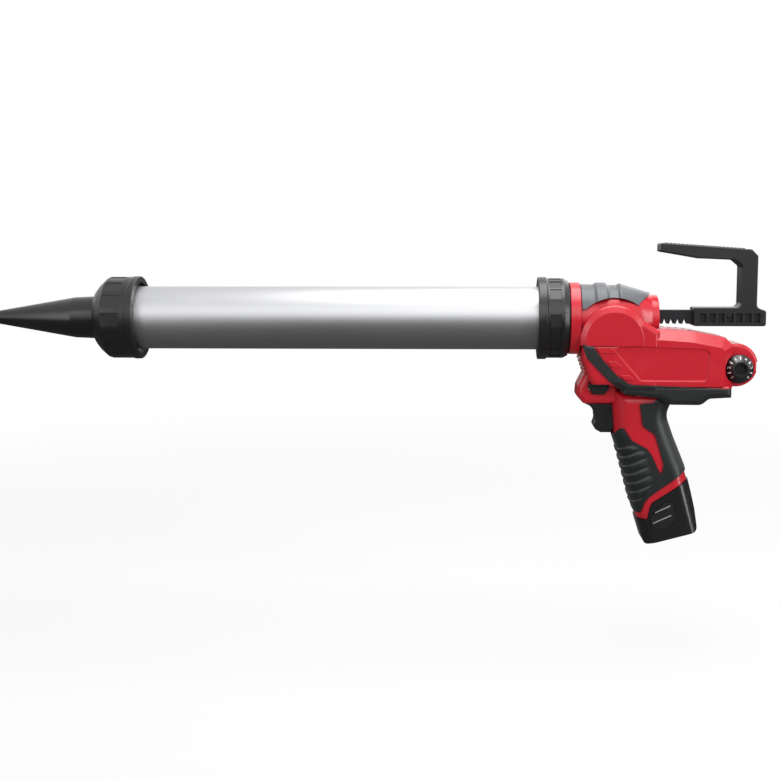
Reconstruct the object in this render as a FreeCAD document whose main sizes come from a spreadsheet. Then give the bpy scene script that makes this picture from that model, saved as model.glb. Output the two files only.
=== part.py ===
import FreeCAD, Part
import math
import os
import re

import Sketcher
from fcgear import fcgear, involute

# Cordless caulking tool. Millimetres. The nozzle points along -X, +Z is up, and the left
# side of the tool faces -Y. The origin is the middle of the hand grip, on the grip's axis.

SIZES = {
    # heights and stations
    "axis_height": 119.0,        # grip middle up to the barrel axis
    "motor_drop": 39.0,          # barrel axis down to the motor axis
    "nose_reach": 86.5,          # grip middle forward to the barrel's seat
    "housing_back": 3.0,         # rear face of the gear housing
    "grip_tilt": 15.0,           # grip axis against the vertical, in degrees
    # general fits
    "slip": 0.3,                 # loose gap between pieces that pass each other
    "fit": 0.1,                  # close gap of pieces that are held
    # barrel
    "barrel_od": 54.0,
    "barrel_wall": 1.5,
    "barrel_length": 378.0,
    "thread_radius": 28.4,       # nose thread and rear flange ring
    "rear_ring_length": 6.0,
    "front_ring_radius": 30.4,
    "front_ring_length": 18.0,
    # nozzle, its gasket and the front cap
    "gasket_thickness": 2.5,
    "gasket_inner": 24.5,
    "flange_radius": 30.0,
    "flange_thickness": 3.5,
    "nozzle_root": 18.8,         # radius where the nozzle leaves the cap
    "nozzle_shoulder": 17.5,     # radius where its long cone starts
    "shoulder_reach": 29.5,      # flange front to that shoulder
    "nozzle_reach": 111.0,       # flange front to the tip
    "tip_radius": 3.4,
    "outlet_radius": 2.2,
    "outlet_length": 6.0,
    "nozzle_wall": 1.8,
    "cap_radius": 35.2,
    "cap_front_radius": 24.0,
    "cap_length": 37.0,
    "cap_web": 8.4,
    "cap_shoulder": 11.0,        # length of the rounded front of the cap
    "cap_panels": 14,
    # rear collar
    "collar_radius": 34.2,
    "collar_lip": 35.3,
    "collar_front": 11.6,        # how far the collar reaches ahead of the barrel seat
    "collar_length": 25.6,
    "collar_panels": 18,
    "panel_depth": 0.9,
    # nose sleeve
    "sleeve_length": 23.0,
    "sleeve_bore": 24.5,
    "sleeve_flange": 29.4,
    "sleeve_flange_length": 5.0,
    # rod
    "rack_module": 1.8,
    "rack_width": 9.0,
    "rod_top": 7.5,              # top of the rod over the barrel axis
    "rack_line": 2.6,            # pitch line of the rack under the barrel axis
    "rod_rear": 73.5,            # rear end of the rod
    "rod_front": 411.0,          # front end of the rod, ahead of the grip middle
    "rack_gaps": 74,
    # piston
    "piston_length": 22.0,
    "piston_gap": 0.35,
    "seal_width": 4.0,
    "seal_depth": 2.4,
    "screw_radius": 3.0,
    "screw_head_radius": 5.5,
    "screw_head": 5.0,
    "screw_reach": 22.0,
    "washer_radius": 9.0,
    "washer_thickness": 1.6,
    # pull handle
    "hook_width": 22.0,
    "block_front": 34.3,
    "block_length": 61.0,
    "block_drop": 6.0,           # underside of the block under the barrel axis
    "block_rise": 9.9,
    "post_front": 73.9,
    "post_width": 13.4,
    "hook_height": 59.0,         # top of the hook over the barrel axis
    "hook_tip": 5.0,
    "hook_rise": 5.4,            # tip of the arm over its root
    "arm_depth": 9.0,
    "side_pockets": 7,
    "side_pocket_depth": 3.0,
    "handle_pin_radius": 2.0,
    # gears
    "pinion_teeth": 16,
    "drive_module": 1.25,
    "main_teeth": 36,
    "lay_teeth": 14,
    "bevel_module": 1.5,
    "bevel_gear_teeth": 24,
    "bevel_pinion_teeth": 12,
    "gear_play": 0.25,           # extra distance between meshing axes
    "cross_x": 34.5,             # cross shaft ahead of the grip middle
    "cross_radius": 4.0,
    "lay_radius": 3.5,
    "main_low": 14.2,            # main gear, its face towards the middle
    "main_face": 6.0,
    "lay_low": 13.6,
    "lay_face": 7.0,
    "bevel_back": 13.0,          # rear face of the bevel gear
    "bush_wall": 2.5,
    "bush_length": 6.0,
    "gear_wall": 21.2,           # inner face of the right side wall
    "left_wall": 9.6,            # inner face of the left side wall
    # motor and reducer
    "reducer_gap": 21.2,         # lay shaft back to the reducer's front face
    "reducer_length": 17.0,
    "reducer_radius": 20.0,
    "reducer_shaft_radius": 3.5,
    "motor_radius": 17.0,
    "motor_wall": 1.6,
    "motor_length": 31.0,
    "motor_cap": 4.0,
    "armature_radius": 11.5,
    "armature_length": 16.0,
    "motor_shaft_radius": 2.0,
    # housing widths, middle to side
    "neck_radius": 30.8,
    "saddle_radius": 27.5,       # housing under the top pad
    "gear_half": 31.0,
    "boss_half": 31.6,
    "boss_radius": 29.5,
    "boss_flat": 23.6,
    "boss_drop": 17.0,           # barrel axis down to the middle of the round side boss
    "motor_half": 30.6,
    "motor_bevel": 9.0,          # broad flat edge round the motor's side
    "panel_half": 29.6,          # floor of the shallow side panel
    "bar_half": 31.7,            # three small bars ahead of that panel
    "dial_end_half": 21.0,
    "dial_end_radius": 18.3,
    "band_half": 30.4,
    "knob_half": 17.0,
    "grip_half": 21.8,
    "grip_front": 24.2,
    "grip_back": 25.3,
    "skin": 1.2,                 # rubber over the housing
    # trigger
    "trigger_half": 9.0,
    "trigger_travel": 6.0,
    "trigger_back": 31.5,        # rear face of the trigger ahead of the grip middle
    "stem_height": 38.0,
    "stem_radius": 2.5,
    "stem_length": 14.0,
    "switch_front": 22.5,
    "switch_length": 24.5,
    "switch_half": 8.0,
    "switch_low": 30.0,
    "switch_high": 46.0,
    "spring_radius": 4.2,
    "spring_wire": 0.8,
    "spring_turns": 3,
    # lock button
    "lock_half": 17.4,
    "lock_proud": 3.6,
    "lock_low": 55.5,
    "lock_high": 64.5,
    "lock_gap": 34.6,            # lay shaft forward to the middle of the lock button
    "lock_width": 16.9,
    "lock_foot": 9.4,
    # dial and its electrics
    "dial_gap": 9.8,             # rear of the motor to the dial's axis
    "dial_drop": 2.3,            # motor axis down to the dial's axis
    "dial_radius": 12.0,
    "dial_face": 6.8,
    "dial_height": 8.0,
    "dial_dish": 5.2,
    "dial_stem": 3.0,
    "pot_radius": 6.8,
    "pot_length": 8.0,
    "pot_depth": 19.0,
    "board_thickness": 1.6,
    # battery, in the tilted frame of the grip
    "cell_radius": 9.2,
    "cell_length": 65.0,
    "cell_base": -46.0,
    "pack_wall": 1.3,
    "pack_gap": 0.4,
    "pack_bottom": 71.3,
    "pack_front": 25.2,
    "pack_back": 26.3,
    "pack_half": 22.8,
    "pack_corner": 13.0,
    "contact_height": 6.5,
    "terminal_height": 7.4,
    "latch_half": 23.6,
    "latch_thickness": 3.0,
    # housing screws
    "body_screw_radius": 1.5,
    "body_screw_head": 2.9,
    "body_screw_seat": 12.0,
    "body_screw_reach": 20.0,
    "body_screw_cap": 2.4,
}

# Stations that follow from the sizes: the cross shaft lies under the rod, the lay shaft level
# with the motor axis, and the motor and the dial come behind the lay shaft.
RELATED = {
    "motor_height": "axis_height - motor_drop",
    "boss_height": "axis_height - boss_drop",
    "block_low": "axis_height - block_drop",
    "block_high": "axis_height + block_rise",
    "hook_top": "axis_height + hook_height",
    "cross_height": "axis_height - rack_line - rack_module * pinion_teeth / 2 - gear_play",
    "gear_centres": "drive_module * (main_teeth + lay_teeth) / 2 + gear_play",
    "lay_x": "sqrt(gear_centres ^ 2 - (cross_height - motor_height) ^ 2) - cross_x",
    "reducer_front": "lay_x + reducer_gap",
    "reducer_back": "reducer_front + reducer_length",
    "motor_back": "reducer_back + motor_length",
    "dial_x": "motor_back + motor_cap + dial_gap",
    "dial_level": "motor_height - dial_drop",
    "lock_middle": "lock_gap - lay_x",
}

doc = FreeCAD.newDocument("caulking_tool")
sheet = doc.addObject("Spreadsheet::Sheet", "size")
CELLS = {**SIZES, **{name: f"={text}" for name, text in RELATED.items()}}
for row, (name, number) in enumerate(CELLS.items(), start=1):
    sheet.set(f"A{row}", name)
    sheet.set(f"B{row}", str(number))
    sheet.setAlias(f"B{row}", name)
doc.recompute()

WORD = re.compile(r"[a-z][a-z_]*")
AXES = {
    "X": FreeCAD.Rotation(FreeCAD.Vector(0, 0, 1), 0),
    "Y": FreeCAD.Rotation(FreeCAD.Vector(0, 0, 1), 90),
}


def rule(text):
    """Turn a line such as 'nose_reach + 2' into one that reads the sheet."""
    return WORD.sub(lambda found: f"size.{found.group()}" if found.group() in CELLS else found.group(),
                    str(text))


def value(text):
    """The present number of such a line."""
    number = sheet.evalExpression(rule(text))
    return float(getattr(number, "Value", number))


def bind(target, rules):
    for path, text in rules.items():
        target.setExpression(path, rule(text))


def place(target, at, rotation=None):
    """Bind the position of an object to the sheet."""
    if rotation is not None:
        target.Placement = FreeCAD.Placement(FreeCAD.Vector(), rotation)
    bind(target, {f"Placement.Base.{axis}": text for axis, text in zip("xyz", at)})


def tilt(target):
    """Lean an object by the grip's angle, round the origin."""
    target.Placement = FreeCAD.Placement(FreeCAD.Vector(), FreeCAD.Rotation(FreeCAD.Vector(0, -1, 0), 10))
    bind(target, {"Placement.Rotation.Angle": "grip_tilt"})


def plane(body, role):
    return next(item for item in body.Origin.OriginFeatures if item.Role == role)


def signed_area(points):
    return sum(points[i - 1].x * points[i].y - points[i].x * points[i - 1].y for i in range(len(points)))


def corner_points(corners, grow):
    """Corners as rules, moved outwards by grow, with their present positions."""
    points = [FreeCAD.Vector(value(corner[0]), value(corner[1]), 0) for corner in corners]
    if grow is None:
        return [(corner[0], corner[1]) for corner in corners], points
    count = len(points)
    turn = 1 if signed_area(points) > 0 else -1
    rules = []
    moved = []
    for i, point in enumerate(points):
        before = (point - points[i - 1]).normalize()
        after = (points[(i + 1) % count] - point).normalize()
        side_one = FreeCAD.Vector(before.y, -before.x, 0) * turn
        side_two = FreeCAD.Vector(after.y, -after.x, 0) * turn
        shift = (side_one + side_two) * (1 / (1 + side_one.dot(side_two)))
        rules.append((f"{corners[i][0]} + {shift.x:.6f} * {grow}",
                      f"{corners[i][1]} + {shift.y:.6f} * {grow}"))
        moved.append(point + shift * value(grow))
    return rules, moved


def rounding_rule(text, points, i, grow):
    """Rounding of a corner; growth is added at a bulging corner and taken off at a hollow one."""
    if grow is None:
        return text
    before = points[i] - points[i - 1]
    after = points[(i + 1) % len(points)] - points[i]
    bulges = before.cross(after).z * signed_area(points) > 0
    return f"{text} + {grow}" if bulges else f"{text} - {grow}"


def hold_point(sketch, mark, rules):
    """Bind one end of a line to its two coordinates."""
    for kind, text in zip(("DistanceX", "DistanceY"), rules):
        held = sketch.addConstraint(Sketcher.Constraint(kind, -1, 1, mark[0], mark[1], value(text)))
        bind(sketch, {f"Constraints[{held}]": text})


def draw(sketch, corners, grow=None):
    """A closed outline of straight sides; a third entry of a corner rounds it."""
    rules, points = corner_points(corners, grow)
    count = len(points)
    starts = list(points)
    ends = list(points)
    roundings = {}
    for i, point in enumerate(points):
        if len(corners[i]) < 3:
            continue
        text = rounding_rule(corners[i][2], points, i, grow)
        back = (points[i - 1] - point).normalize()
        ahead = (points[(i + 1) % count] - point).normalize()
        half = back.getAngle(ahead) / 2
        reach = 1 / math.tan(half)
        radius = value(text)
        inward = (back + ahead).normalize() * (1 / math.sin(half))
        centre = point + inward * radius
        ends[i] = point + back * (radius * reach)
        starts[i] = point + ahead * (radius * reach)
        tangent_rules = [tuple(f"{rules[i][axis]} + {way[axis] * reach:.8f} * ({text})" for axis in (0, 1))
                         for way in (back, ahead)]
        axis = 0 if abs(inward.x) > abs(inward.y) else 1
        centre_rule = (("DistanceX", "DistanceY")[axis], f"{rules[i][axis]} + {inward[axis]:.8f} * ({text})")
        turns_left = ahead.cross(back).z > 0
        first, last = (ends[i], starts[i]) if turns_left else (starts[i], ends[i])
        angles = [math.atan2(spot.y - centre.y, spot.x - centre.x) for spot in (first, last)]
        circle = Part.Circle(centre, FreeCAD.Vector(0, 0, 1), radius)
        curve = Part.ArcOfCircle(circle, angles[0], angles[1])
        roundings[i] = (centre_rule, curve, (1, 2) if turns_left else (2, 1), tangent_rules)
    lines = [sketch.addGeometry(Part.LineSegment(starts[i], ends[(i + 1) % count]), False)
             for i in range(count)]
    for i in range(count):
        before = lines[i - 1]
        after = lines[i]
        if i not in roundings:
            sketch.addConstraint(Sketcher.Constraint("Coincident", before, 2, after, 1))
            hold_point(sketch, (after, 1), rules[i])
            continue
        centre_rule, curve, (first, last), tangent_rules = roundings[i]
        hold_point(sketch, (before, 2), tangent_rules[0])
        hold_point(sketch, (after, 1), tangent_rules[1])
        arc = sketch.addGeometry(curve, False)
        sketch.addConstraint(Sketcher.Constraint("Coincident", before, 2, arc, first))
        sketch.addConstraint(Sketcher.Constraint("Coincident", arc, last, after, 1))
        kind, spot = centre_rule
        held = sketch.addConstraint(Sketcher.Constraint(kind, -1, 1, arc, 3, value(spot)))
        bind(sketch, {f"Constraints[{held}]": centre_rule[1]})


def new_sketch(body, role, name):
    sketch = body.newObject("Sketcher::SketchObject", name)
    sketch.AttachmentSupport = [(plane(body, role), "")]
    sketch.MapMode = "FlatFace"
    return sketch


def new_body(name):
    return doc.addObject("PartDesign::Body", name)


def prism(name, corners, half, edge=None, grow=None, bevel=False):
    """Side view outline, as wide to the left as to the right, its two side edges rounded or bevelled."""
    body = new_body(name)
    sketch = new_sketch(body, "XZ_Plane", f"{name}_outline")
    draw(sketch, corners, grow)
    pad = body.newObject("PartDesign::Pad", f"{name}_pad")
    pad.Profile = sketch
    pad.SideType = "Symmetric"
    bind(pad, {"Length": f"2 * ({half})" if grow is None else f"2 * ({half} + {grow})"})
    doc.recompute()
    if edge is not None:
        sides = [f"Face{i}" for i, face in enumerate(pad.Shape.Faces, start=1)
                 if abs(face.normalAt(0, 0).y) > 0.99 and abs(face.CenterOfMass.y) > 1]
        kind, path = ("Chamfer", "Size") if bevel else ("Fillet", "Radius")
        # a bevel grown by a skin keeps that skin's thickness across its slope
        gain = f"{math.tan(math.radians(22.5)):.6f} * {grow}" if bevel else grow
        trim = body.newObject(f"PartDesign::{kind}", f"{name}_edge")
        trim.Base = (pad, sides)
        bind(trim, {path: edge if grow is None else f"{edge} + {gain}"})
        doc.recompute()
    return body


def turned(name, corners, axis="X", at=("0", "0", "axis_height")):
    """A turned piece: corners are (station along the axis, radius)."""
    body = new_body(name)
    sketch = new_sketch(body, "XZ_Plane", f"{name}_profile")
    draw(sketch, corners)
    turn = body.newObject("PartDesign::Revolution", f"{name}_turn")
    turn.Profile = sketch
    turn.ReferenceAxis = (sketch, ["H_Axis"])
    turn.Angle = 360
    place(body, at, AXES[axis])
    doc.recompute()
    return body


def block(name, low, high):
    """A box between two corners."""
    box = doc.addObject("Part::Box", name)
    for prop, i in (("Length", 0), ("Width", 1), ("Height", 2)):
        bind(box, {prop: f"({high[i]}) - ({low[i]})"})
    place(box, low)
    return box


def stick(name, axis, start, radius, length):
    """A round bar along X or Y from its starting point."""
    bar = doc.addObject("Part::Cylinder", name)
    bind(bar, {"Radius": radius, "Height": length})
    turn = {"X": FreeCAD.Rotation(FreeCAD.Vector(0, 1, 0), 90),
            "Y": FreeCAD.Rotation(FreeCAD.Vector(1, 0, 0), -90),
            "Z": FreeCAD.Rotation()}
    place(bar, start, turn[axis])
    return bar


def fuse(name, items):
    joined = doc.addObject("Part::MultiFuse", name)
    joined.Shapes = items
    return joined


def join(name, items):
    """Join volumes one after the other."""
    whole = items[0]
    for i, item in enumerate(items[1:], start=1):
        step = doc.addObject("Part::Fuse", f"{name}_{i}")
        step.Base = whole
        step.Tool = item
        whole = step
    return whole


def carve(name, base, tools):
    """Cut tools out of a volume one after the other."""
    for i, tool in enumerate(tools, start=1):
        base = cut(f"{name}_{i}", base, tool)
    return base


def cut(name, base, tool):
    result = doc.addObject("Part::Cut", name)
    result.Base = base
    result.Tool = tool
    return result


def common(name, items):
    result = doc.addObject("Part::MultiCommon", name)
    result.Shapes = items
    return result


def group(name, items):
    held = doc.addObject("Part::Compound", name)
    held.Links = items
    return held


PIECES = []


def piece(target, label):
    """Name a finished piece; it gets a file of its own."""
    target.Label = label
    PIECES.append(target)
    return target


# Stations along the barrel axis that several pieces share.
SEAT = "-nose_reach"
MOUTH = "-nose_reach - barrel_length"
FLANGE_BACK = f"{MOUTH} - gasket_thickness"
FLANGE_FRONT = f"{FLANGE_BACK} - flange_thickness"
CAP_FRONT = f"{FLANGE_FRONT} - cap_web - fit"
CAP_BACK = f"{CAP_FRONT} + cap_length"
COLLAR_FRONT = f"{SEAT} - collar_front"
COLLAR_BACK = f"{COLLAR_FRONT} + collar_length"


def build_barrel():
    outer = "barrel_od / 2"
    inner = "barrel_od / 2 - barrel_wall"
    piece(turned("barrel_tube_body", [(MOUTH, inner), (MOUTH, outer), (SEAT, outer), (SEAT, inner)]),
          "barrel_tube")
    ring_bore = "barrel_od / 2 + fit"
    ring_back = f"{MOUTH} + front_ring_length"
    piece(turned("front_ring_body", [(MOUTH, ring_bore), (MOUTH, "front_ring_radius"),
                                     (ring_back, "front_ring_radius"), (ring_back, ring_bore)]),
          "barrel_front_ring")
    flange_front = f"{SEAT} - rear_ring_length"
    piece(turned("rear_ring_body", [(flange_front, ring_bore), (flange_front, "thread_radius"),
                                    (SEAT, "thread_radius"), (SEAT, ring_bore)]),
          "barrel_rear_ring")


def build_nozzle():
    shoulder = f"{FLANGE_FRONT} - shoulder_reach"
    tip = f"{FLANGE_FRONT} - nozzle_reach"
    land = f"{tip} + outlet_length"
    piece(turned("nozzle_body", [
        (FLANGE_BACK, "nozzle_root - nozzle_wall"),
        (FLANGE_BACK, "flange_radius"),
        (FLANGE_FRONT, "flange_radius"),
        (FLANGE_FRONT, "nozzle_root"),
        (shoulder, "nozzle_shoulder"),
        (tip, "tip_radius"),
        (tip, "outlet_radius"),
        (land, "outlet_radius"),
        (shoulder, "nozzle_shoulder - nozzle_wall")]), "nozzle")
    piece(turned("gasket_body", [(FLANGE_BACK, "gasket_inner"), (FLANGE_BACK, "flange_radius"),
                                 (MOUTH, "flange_radius"), (MOUTH, "gasket_inner")]), "nozzle_gasket")


def build_cap():
    bore = "front_ring_radius + slip"
    web_back = f"{FLANGE_FRONT} - fit"
    body = turned("front_cap_turned", [
        (CAP_FRONT, "nozzle_root + slip"),
        (CAP_FRONT, "cap_front_radius", "2"),
        (f"{CAP_FRONT} + 4.5", "29.5", "5"),
        (f"{CAP_FRONT} + cap_shoulder", "cap_radius", "4"),
        (f"{CAP_BACK} - 6", "cap_radius"),
        (f"{CAP_BACK} - 5", "cap_radius + 0.6"),
        (CAP_BACK, "cap_radius + 0.6", "0.8"),
        (CAP_BACK, bore),
        (web_back, bore),
        (web_back, "nozzle_root + slip")])
    ribbed = ring_panels("front_cap", body, f"{CAP_FRONT} + cap_shoulder - 7", f"{CAP_BACK} - 11",
                         "cap_radius", "cap_panels", 0.36)
    piece(ribbed, "front_cap")


def ring_panels(name, body, front, back, radius, count, share):
    """Cut shallow rectangular panels round a turned nut and leave ribs between them."""
    total = int(value(count))
    cutters = []
    half = f"{radius} * tan(180 / {count}) * {2 * share}"
    for i in range(total):
        cutter = doc.addObject("Part::Box", f"{name}_panel_{i}")
        bind(cutter, {"Length": f"({back}) - ({front})", "Width": f"2 * {half}", "Height": "10"})
        angle = math.radians(360 * (i + 0.5) / total)
        rise = f"({radius} - panel_depth)"
        cutter.Placement = FreeCAD.Placement(FreeCAD.Vector(),
                                             FreeCAD.Rotation(FreeCAD.Vector(1, 0, 0), math.degrees(angle)))
        place(cutter, (front,
                       f"-{half} * {math.cos(angle):.6f} - {rise} * {math.sin(angle):.6f}",
                       f"axis_height - {half} * {math.sin(angle):.6f} + {rise} * {math.cos(angle):.6f}"))
        cutters.append(cutter)
    return cut(name, body, fuse(f"{name}_panels", cutters))


def build_collar():
    lip_back = f"{SEAT} - rear_ring_length - slip"
    bore = "thread_radius + slip"
    body = turned("rear_collar_turned", [
        (COLLAR_FRONT, "barrel_od / 2 + slip"),
        (COLLAR_FRONT, "collar_lip", "0.8"),
        (f"{COLLAR_FRONT} + 7", "collar_lip", "0.8"),
        (f"{COLLAR_FRONT} + 8", "collar_radius"),
        (f"{COLLAR_BACK} - 4", "collar_radius", "1.5"),
        (COLLAR_BACK, "collar_radius - 2"),
        (COLLAR_BACK, bore),
        (lip_back, bore),
        (lip_back, "barrel_od / 2 + slip")])
    ribbed = ring_panels("rear_collar", body, f"{COLLAR_FRONT} + 9.5", f"{COLLAR_BACK} - 6.5",
                         "collar_radius", "collar_panels", 0.42)
    piece(ribbed, "rear_collar")


def build_nose():
    back = f"{SEAT} + sleeve_length"
    flange = f"{back} - sleeve_flange_length"
    piece(turned("nose_sleeve_body", [
        (SEAT, "sleeve_bore"), (SEAT, "thread_radius"), (flange, "thread_radius"),
        (flange, "sleeve_flange"), (back, "sleeve_flange"), (back, "sleeve_bore")]), "nose_sleeve")


# The rod: a flat bar standing on edge, its teeth underneath.
ROD_LOW = "axis_height - rack_line - rack_module"
ROD_HIGH = "axis_height + rod_top"
PITCH = "pi * rack_module"
SCREW_HEIGHT = "axis_height + rod_top / 2 - rack_line / 2"
PIN_STATIONS = ("block_front + 12", "block_front + 30")


def rod_slot(name, start, length):
    """A slot for the rod through a guide."""
    return block(name, (start, "-rack_width / 2 - slip", f"{ROD_LOW} - slip"),
                 (f"{start} + {length}", "rack_width / 2 + slip", f"{ROD_HIGH} + slip"))


def build_rod():
    body = new_body("rack_rod_body")
    sketch = new_sketch(body, "XZ_Plane", "rod_side")
    draw(sketch, [("-rod_front", ROD_LOW), ("rod_rear", ROD_LOW),
                  ("rod_rear", ROD_HIGH), ("-rod_front", ROD_HIGH)])
    pad = body.newObject("PartDesign::Pad", "rod_pad")
    pad.Profile = sketch
    pad.SideType = "Symmetric"
    bind(pad, {"Length": "rack_width"})
    doc.recompute()
    gap = new_sketch(body, "XZ_Plane", "tooth_gap")
    line = "axis_height - rack_line"
    slope = f"{math.tan(math.radians(20)):.6f}"
    # one gap stands right over the cross shaft, so a tooth of the pinion fits it
    middle = f"-cross_x - {PITCH} * round((rod_front - cross_x - 26) / ({PITCH}))"
    wide = f"{PITCH} / 4 + {slope} * rack_module"
    narrow = f"{PITCH} / 4 - {slope} * rack_module * 1.25"
    draw(gap, [(f"{middle} - ({wide})", ROD_LOW), (f"{middle} + {wide}", ROD_LOW),
               (f"{middle} + {narrow}", f"{line} + 1.25 * rack_module"),
               (f"{middle} - ({narrow})", f"{line} + 1.25 * rack_module")])
    pocket = body.newObject("PartDesign::Pocket", "tooth_gap_cut")
    pocket.Profile = gap
    pocket.SideType = "Symmetric"
    bind(pocket, {"Length": "rack_width + 2"})
    doc.recompute()
    row = body.newObject("PartDesign::LinearPattern", "tooth_row")
    row.Originals = [pocket]
    row.Direction = (gap, ["H_Axis"])
    row.Mode = "Spacing"
    bind(row, {"Offset": PITCH, "Occurrences": "rack_gaps"})
    body.Tip = row
    doc.recompute()
    bore = stick("piston_screw_hole", "X", ("-rod_front - 1", "0", SCREW_HEIGHT),
                 "screw_radius + fit", "screw_reach - 3")
    pins = fuse("rod_pin_holes", pin_sticks("rod_pin_hole", "handle_pin_radius + fit / 2"))
    rod = cut("rack_rod", body, fuse("rod_holes", [bore, pins]))
    piece(rod, "rack_rod")


def pin_sticks(name, radius):
    return [stick(f"{name}_{i}", "Y", (station, "-hook_width / 2 + 0.5", "axis_height + rod_top / 2"),
                  radius, "hook_width - 1")
            for i, station in enumerate(PIN_STATIONS)]


def build_pull_handle():
    post_back = "post_front + post_width"
    block_back = "block_front + block_length"
    arm_low = "hook_top - arm_depth"
    shape = prism("hook_shape", [
        ("block_front", "block_low", "1.5"),
        (block_back, "block_low", "2"),
        (block_back, "block_high - 3", "2"),
        (post_back, "block_high", "4"),
        (post_back, "hook_top - 5.5", "2"),
        (f"{post_back} - 5.5", "hook_top", "2"),
        ("hook_tip", "hook_top + hook_rise", "1.5"),
        ("hook_tip", "hook_top + hook_rise - 7.2", "1.5"),
        ("34.5 + hook_tip", arm_low + " + 1.2", "12"),
        ("post_front - 6", arm_low, "3"),
        ("post_front", f"{arm_low} - 5", "3"),
        ("post_front", "block_high", "4"),
        ("block_front", "block_high", "1.5")], "hook_width / 2", "1")
    slot = block("hook_slot", ("block_front - 1", "-rack_width / 2 - fit", f"{ROD_LOW} - fit"),
                 ("rod_rear + fit", "rack_width / 2 + fit", f"{ROD_HIGH} + fit"))
    pockets = []
    step = "(block_length - 8) / side_pockets"
    for i in range(int(value("side_pockets"))):
        start = f"block_front + 5 + {i} * {step}"
        for side, low, high in (("left", "-hook_width / 2 - 1", "-hook_width / 2 + side_pocket_depth"),
                                ("right", "hook_width / 2 - side_pocket_depth", "hook_width / 2 + 1")):
            pockets.append(block(f"hook_pocket_{side}_{i}", (start, low, "block_low + 3"),
                                 (f"{start} + {step} - 2", high, "block_high - 5")))
    holes = pin_sticks("hook_pin_hole", "handle_pin_radius + fit / 2")
    piece(cut("pull_handle", shape, fuse("hook_cuts", [slot] + pockets + holes)), "pull_handle")
    piece(group("handle_pins", pin_sticks("handle_pin", "handle_pin_radius")), "handle_pins")


def build_piston():
    back = "-rod_front + 8"
    front = f"{back} - piston_length"
    rim = "barrel_od / 2 - barrel_wall - piston_gap"
    groove = f"{front} + 5"
    body = turned("piston_turned", [
        (front, "0"), (front, f"{rim} - 2"), (f"{front} + 2", rim), (groove, rim),
        (groove, f"{rim} - seal_depth"), (f"{groove} + seal_width", f"{rim} - seal_depth"),
        (f"{groove} + seal_width", rim), (f"{front} + 13", rim), (f"{front} + 13", "14"), (back, "14"),
        (back, "0")])
    socket = block("piston_socket", ("-rod_front", "-rack_width / 2 - fit", f"{ROD_LOW} - fit"),
                   (f"{back} + 1", "rack_width / 2 + fit", f"{ROD_HIGH} + fit"))
    hole = stick("piston_hole", "X", (f"{front} - 1", "0", SCREW_HEIGHT), "screw_radius + fit",
                 "piston_length")
    recess = stick("piston_recess", "X", (f"{front} - 1", "0", SCREW_HEIGHT), "washer_radius + slip",
                   "screw_head + washer_thickness + 1.5")
    piece(cut("piston", body, fuse("piston_cuts", [socket, hole, recess])), "piston")
    piece(turned("piston_seal_body", [
        (f"{groove} + fit", f"{rim} - seal_depth + fit"), (f"{groove} + fit", f"{rim} + 0.2"),
        (f"{groove} + seal_width - fit", f"{rim} + 0.2"),
        (f"{groove} + seal_width - fit", f"{rim} - seal_depth + fit")]), "piston_seal")
    seat = f"{front} + screw_head + washer_thickness + 0.5"
    piece(turned("piston_washer_body", [
        (f"{seat} - washer_thickness", "screw_radius + fit"),
        (f"{seat} - washer_thickness", "washer_radius"), (seat, "washer_radius"),
        (seat, "screw_radius + fit")], at=("0", "0", SCREW_HEIGHT)), "piston_washer")
    head = f"{seat} - washer_thickness - screw_head"
    socket_depth = f"{head} + 3"
    piece(turned("piston_screw_body", [
        (socket_depth, "0"), (socket_depth, "2.6"), (head, "2.6"), (head, "screw_head_radius", "0.6"),
        (f"{seat} - washer_thickness", "screw_head_radius"), (f"{seat} - washer_thickness", "screw_radius"),
        ("-rod_front + screw_reach - 6", "screw_radius"), ("-rod_front + screw_reach - 6", "0")],
        at=("0", "0", SCREW_HEIGHT)), "piston_screw")


def build_rod_guides():
    front = f"{SEAT} + 6"
    plug = turned("front_guide_plug", [
        (front, "0"), (front, "sleeve_bore - fit"), (f"{front} + 14", "sleeve_bore - fit"),
        (f"{front} + 14", "0")])
    slot = rod_slot("front_guide_slot", f"{front} - 1", "16")
    piece(cut("rod_guide_front", plug, slot), "rod_guide_front")
    back = "housing_back - 14"
    rear = block("rear_guide_block", (back, "-rack_width / 2 - 6", f"{ROD_LOW} - 5"),
                 (f"{back} + 11", "rack_width / 2 + 6", f"{ROD_HIGH} + 5"))
    piece(cut("rod_guide_rear", rear, rod_slot("rear_guide_slot", f"{back} - 1", "13")), "rod_guide_rear")
    piece(block("rod_backing_pad", ("-cross_x - 9", "-rack_width / 2 - 2", f"{ROD_HIGH} + slip"),
                ("-cross_x + 9", "rack_width / 2 + 2", f"{ROD_HIGH} + slip + 5")), "rod_backing_pad")


CROSS_AT = ("-cross_x", "cross_height")
LAY_AT = ("lay_x", "motor_height")


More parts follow.
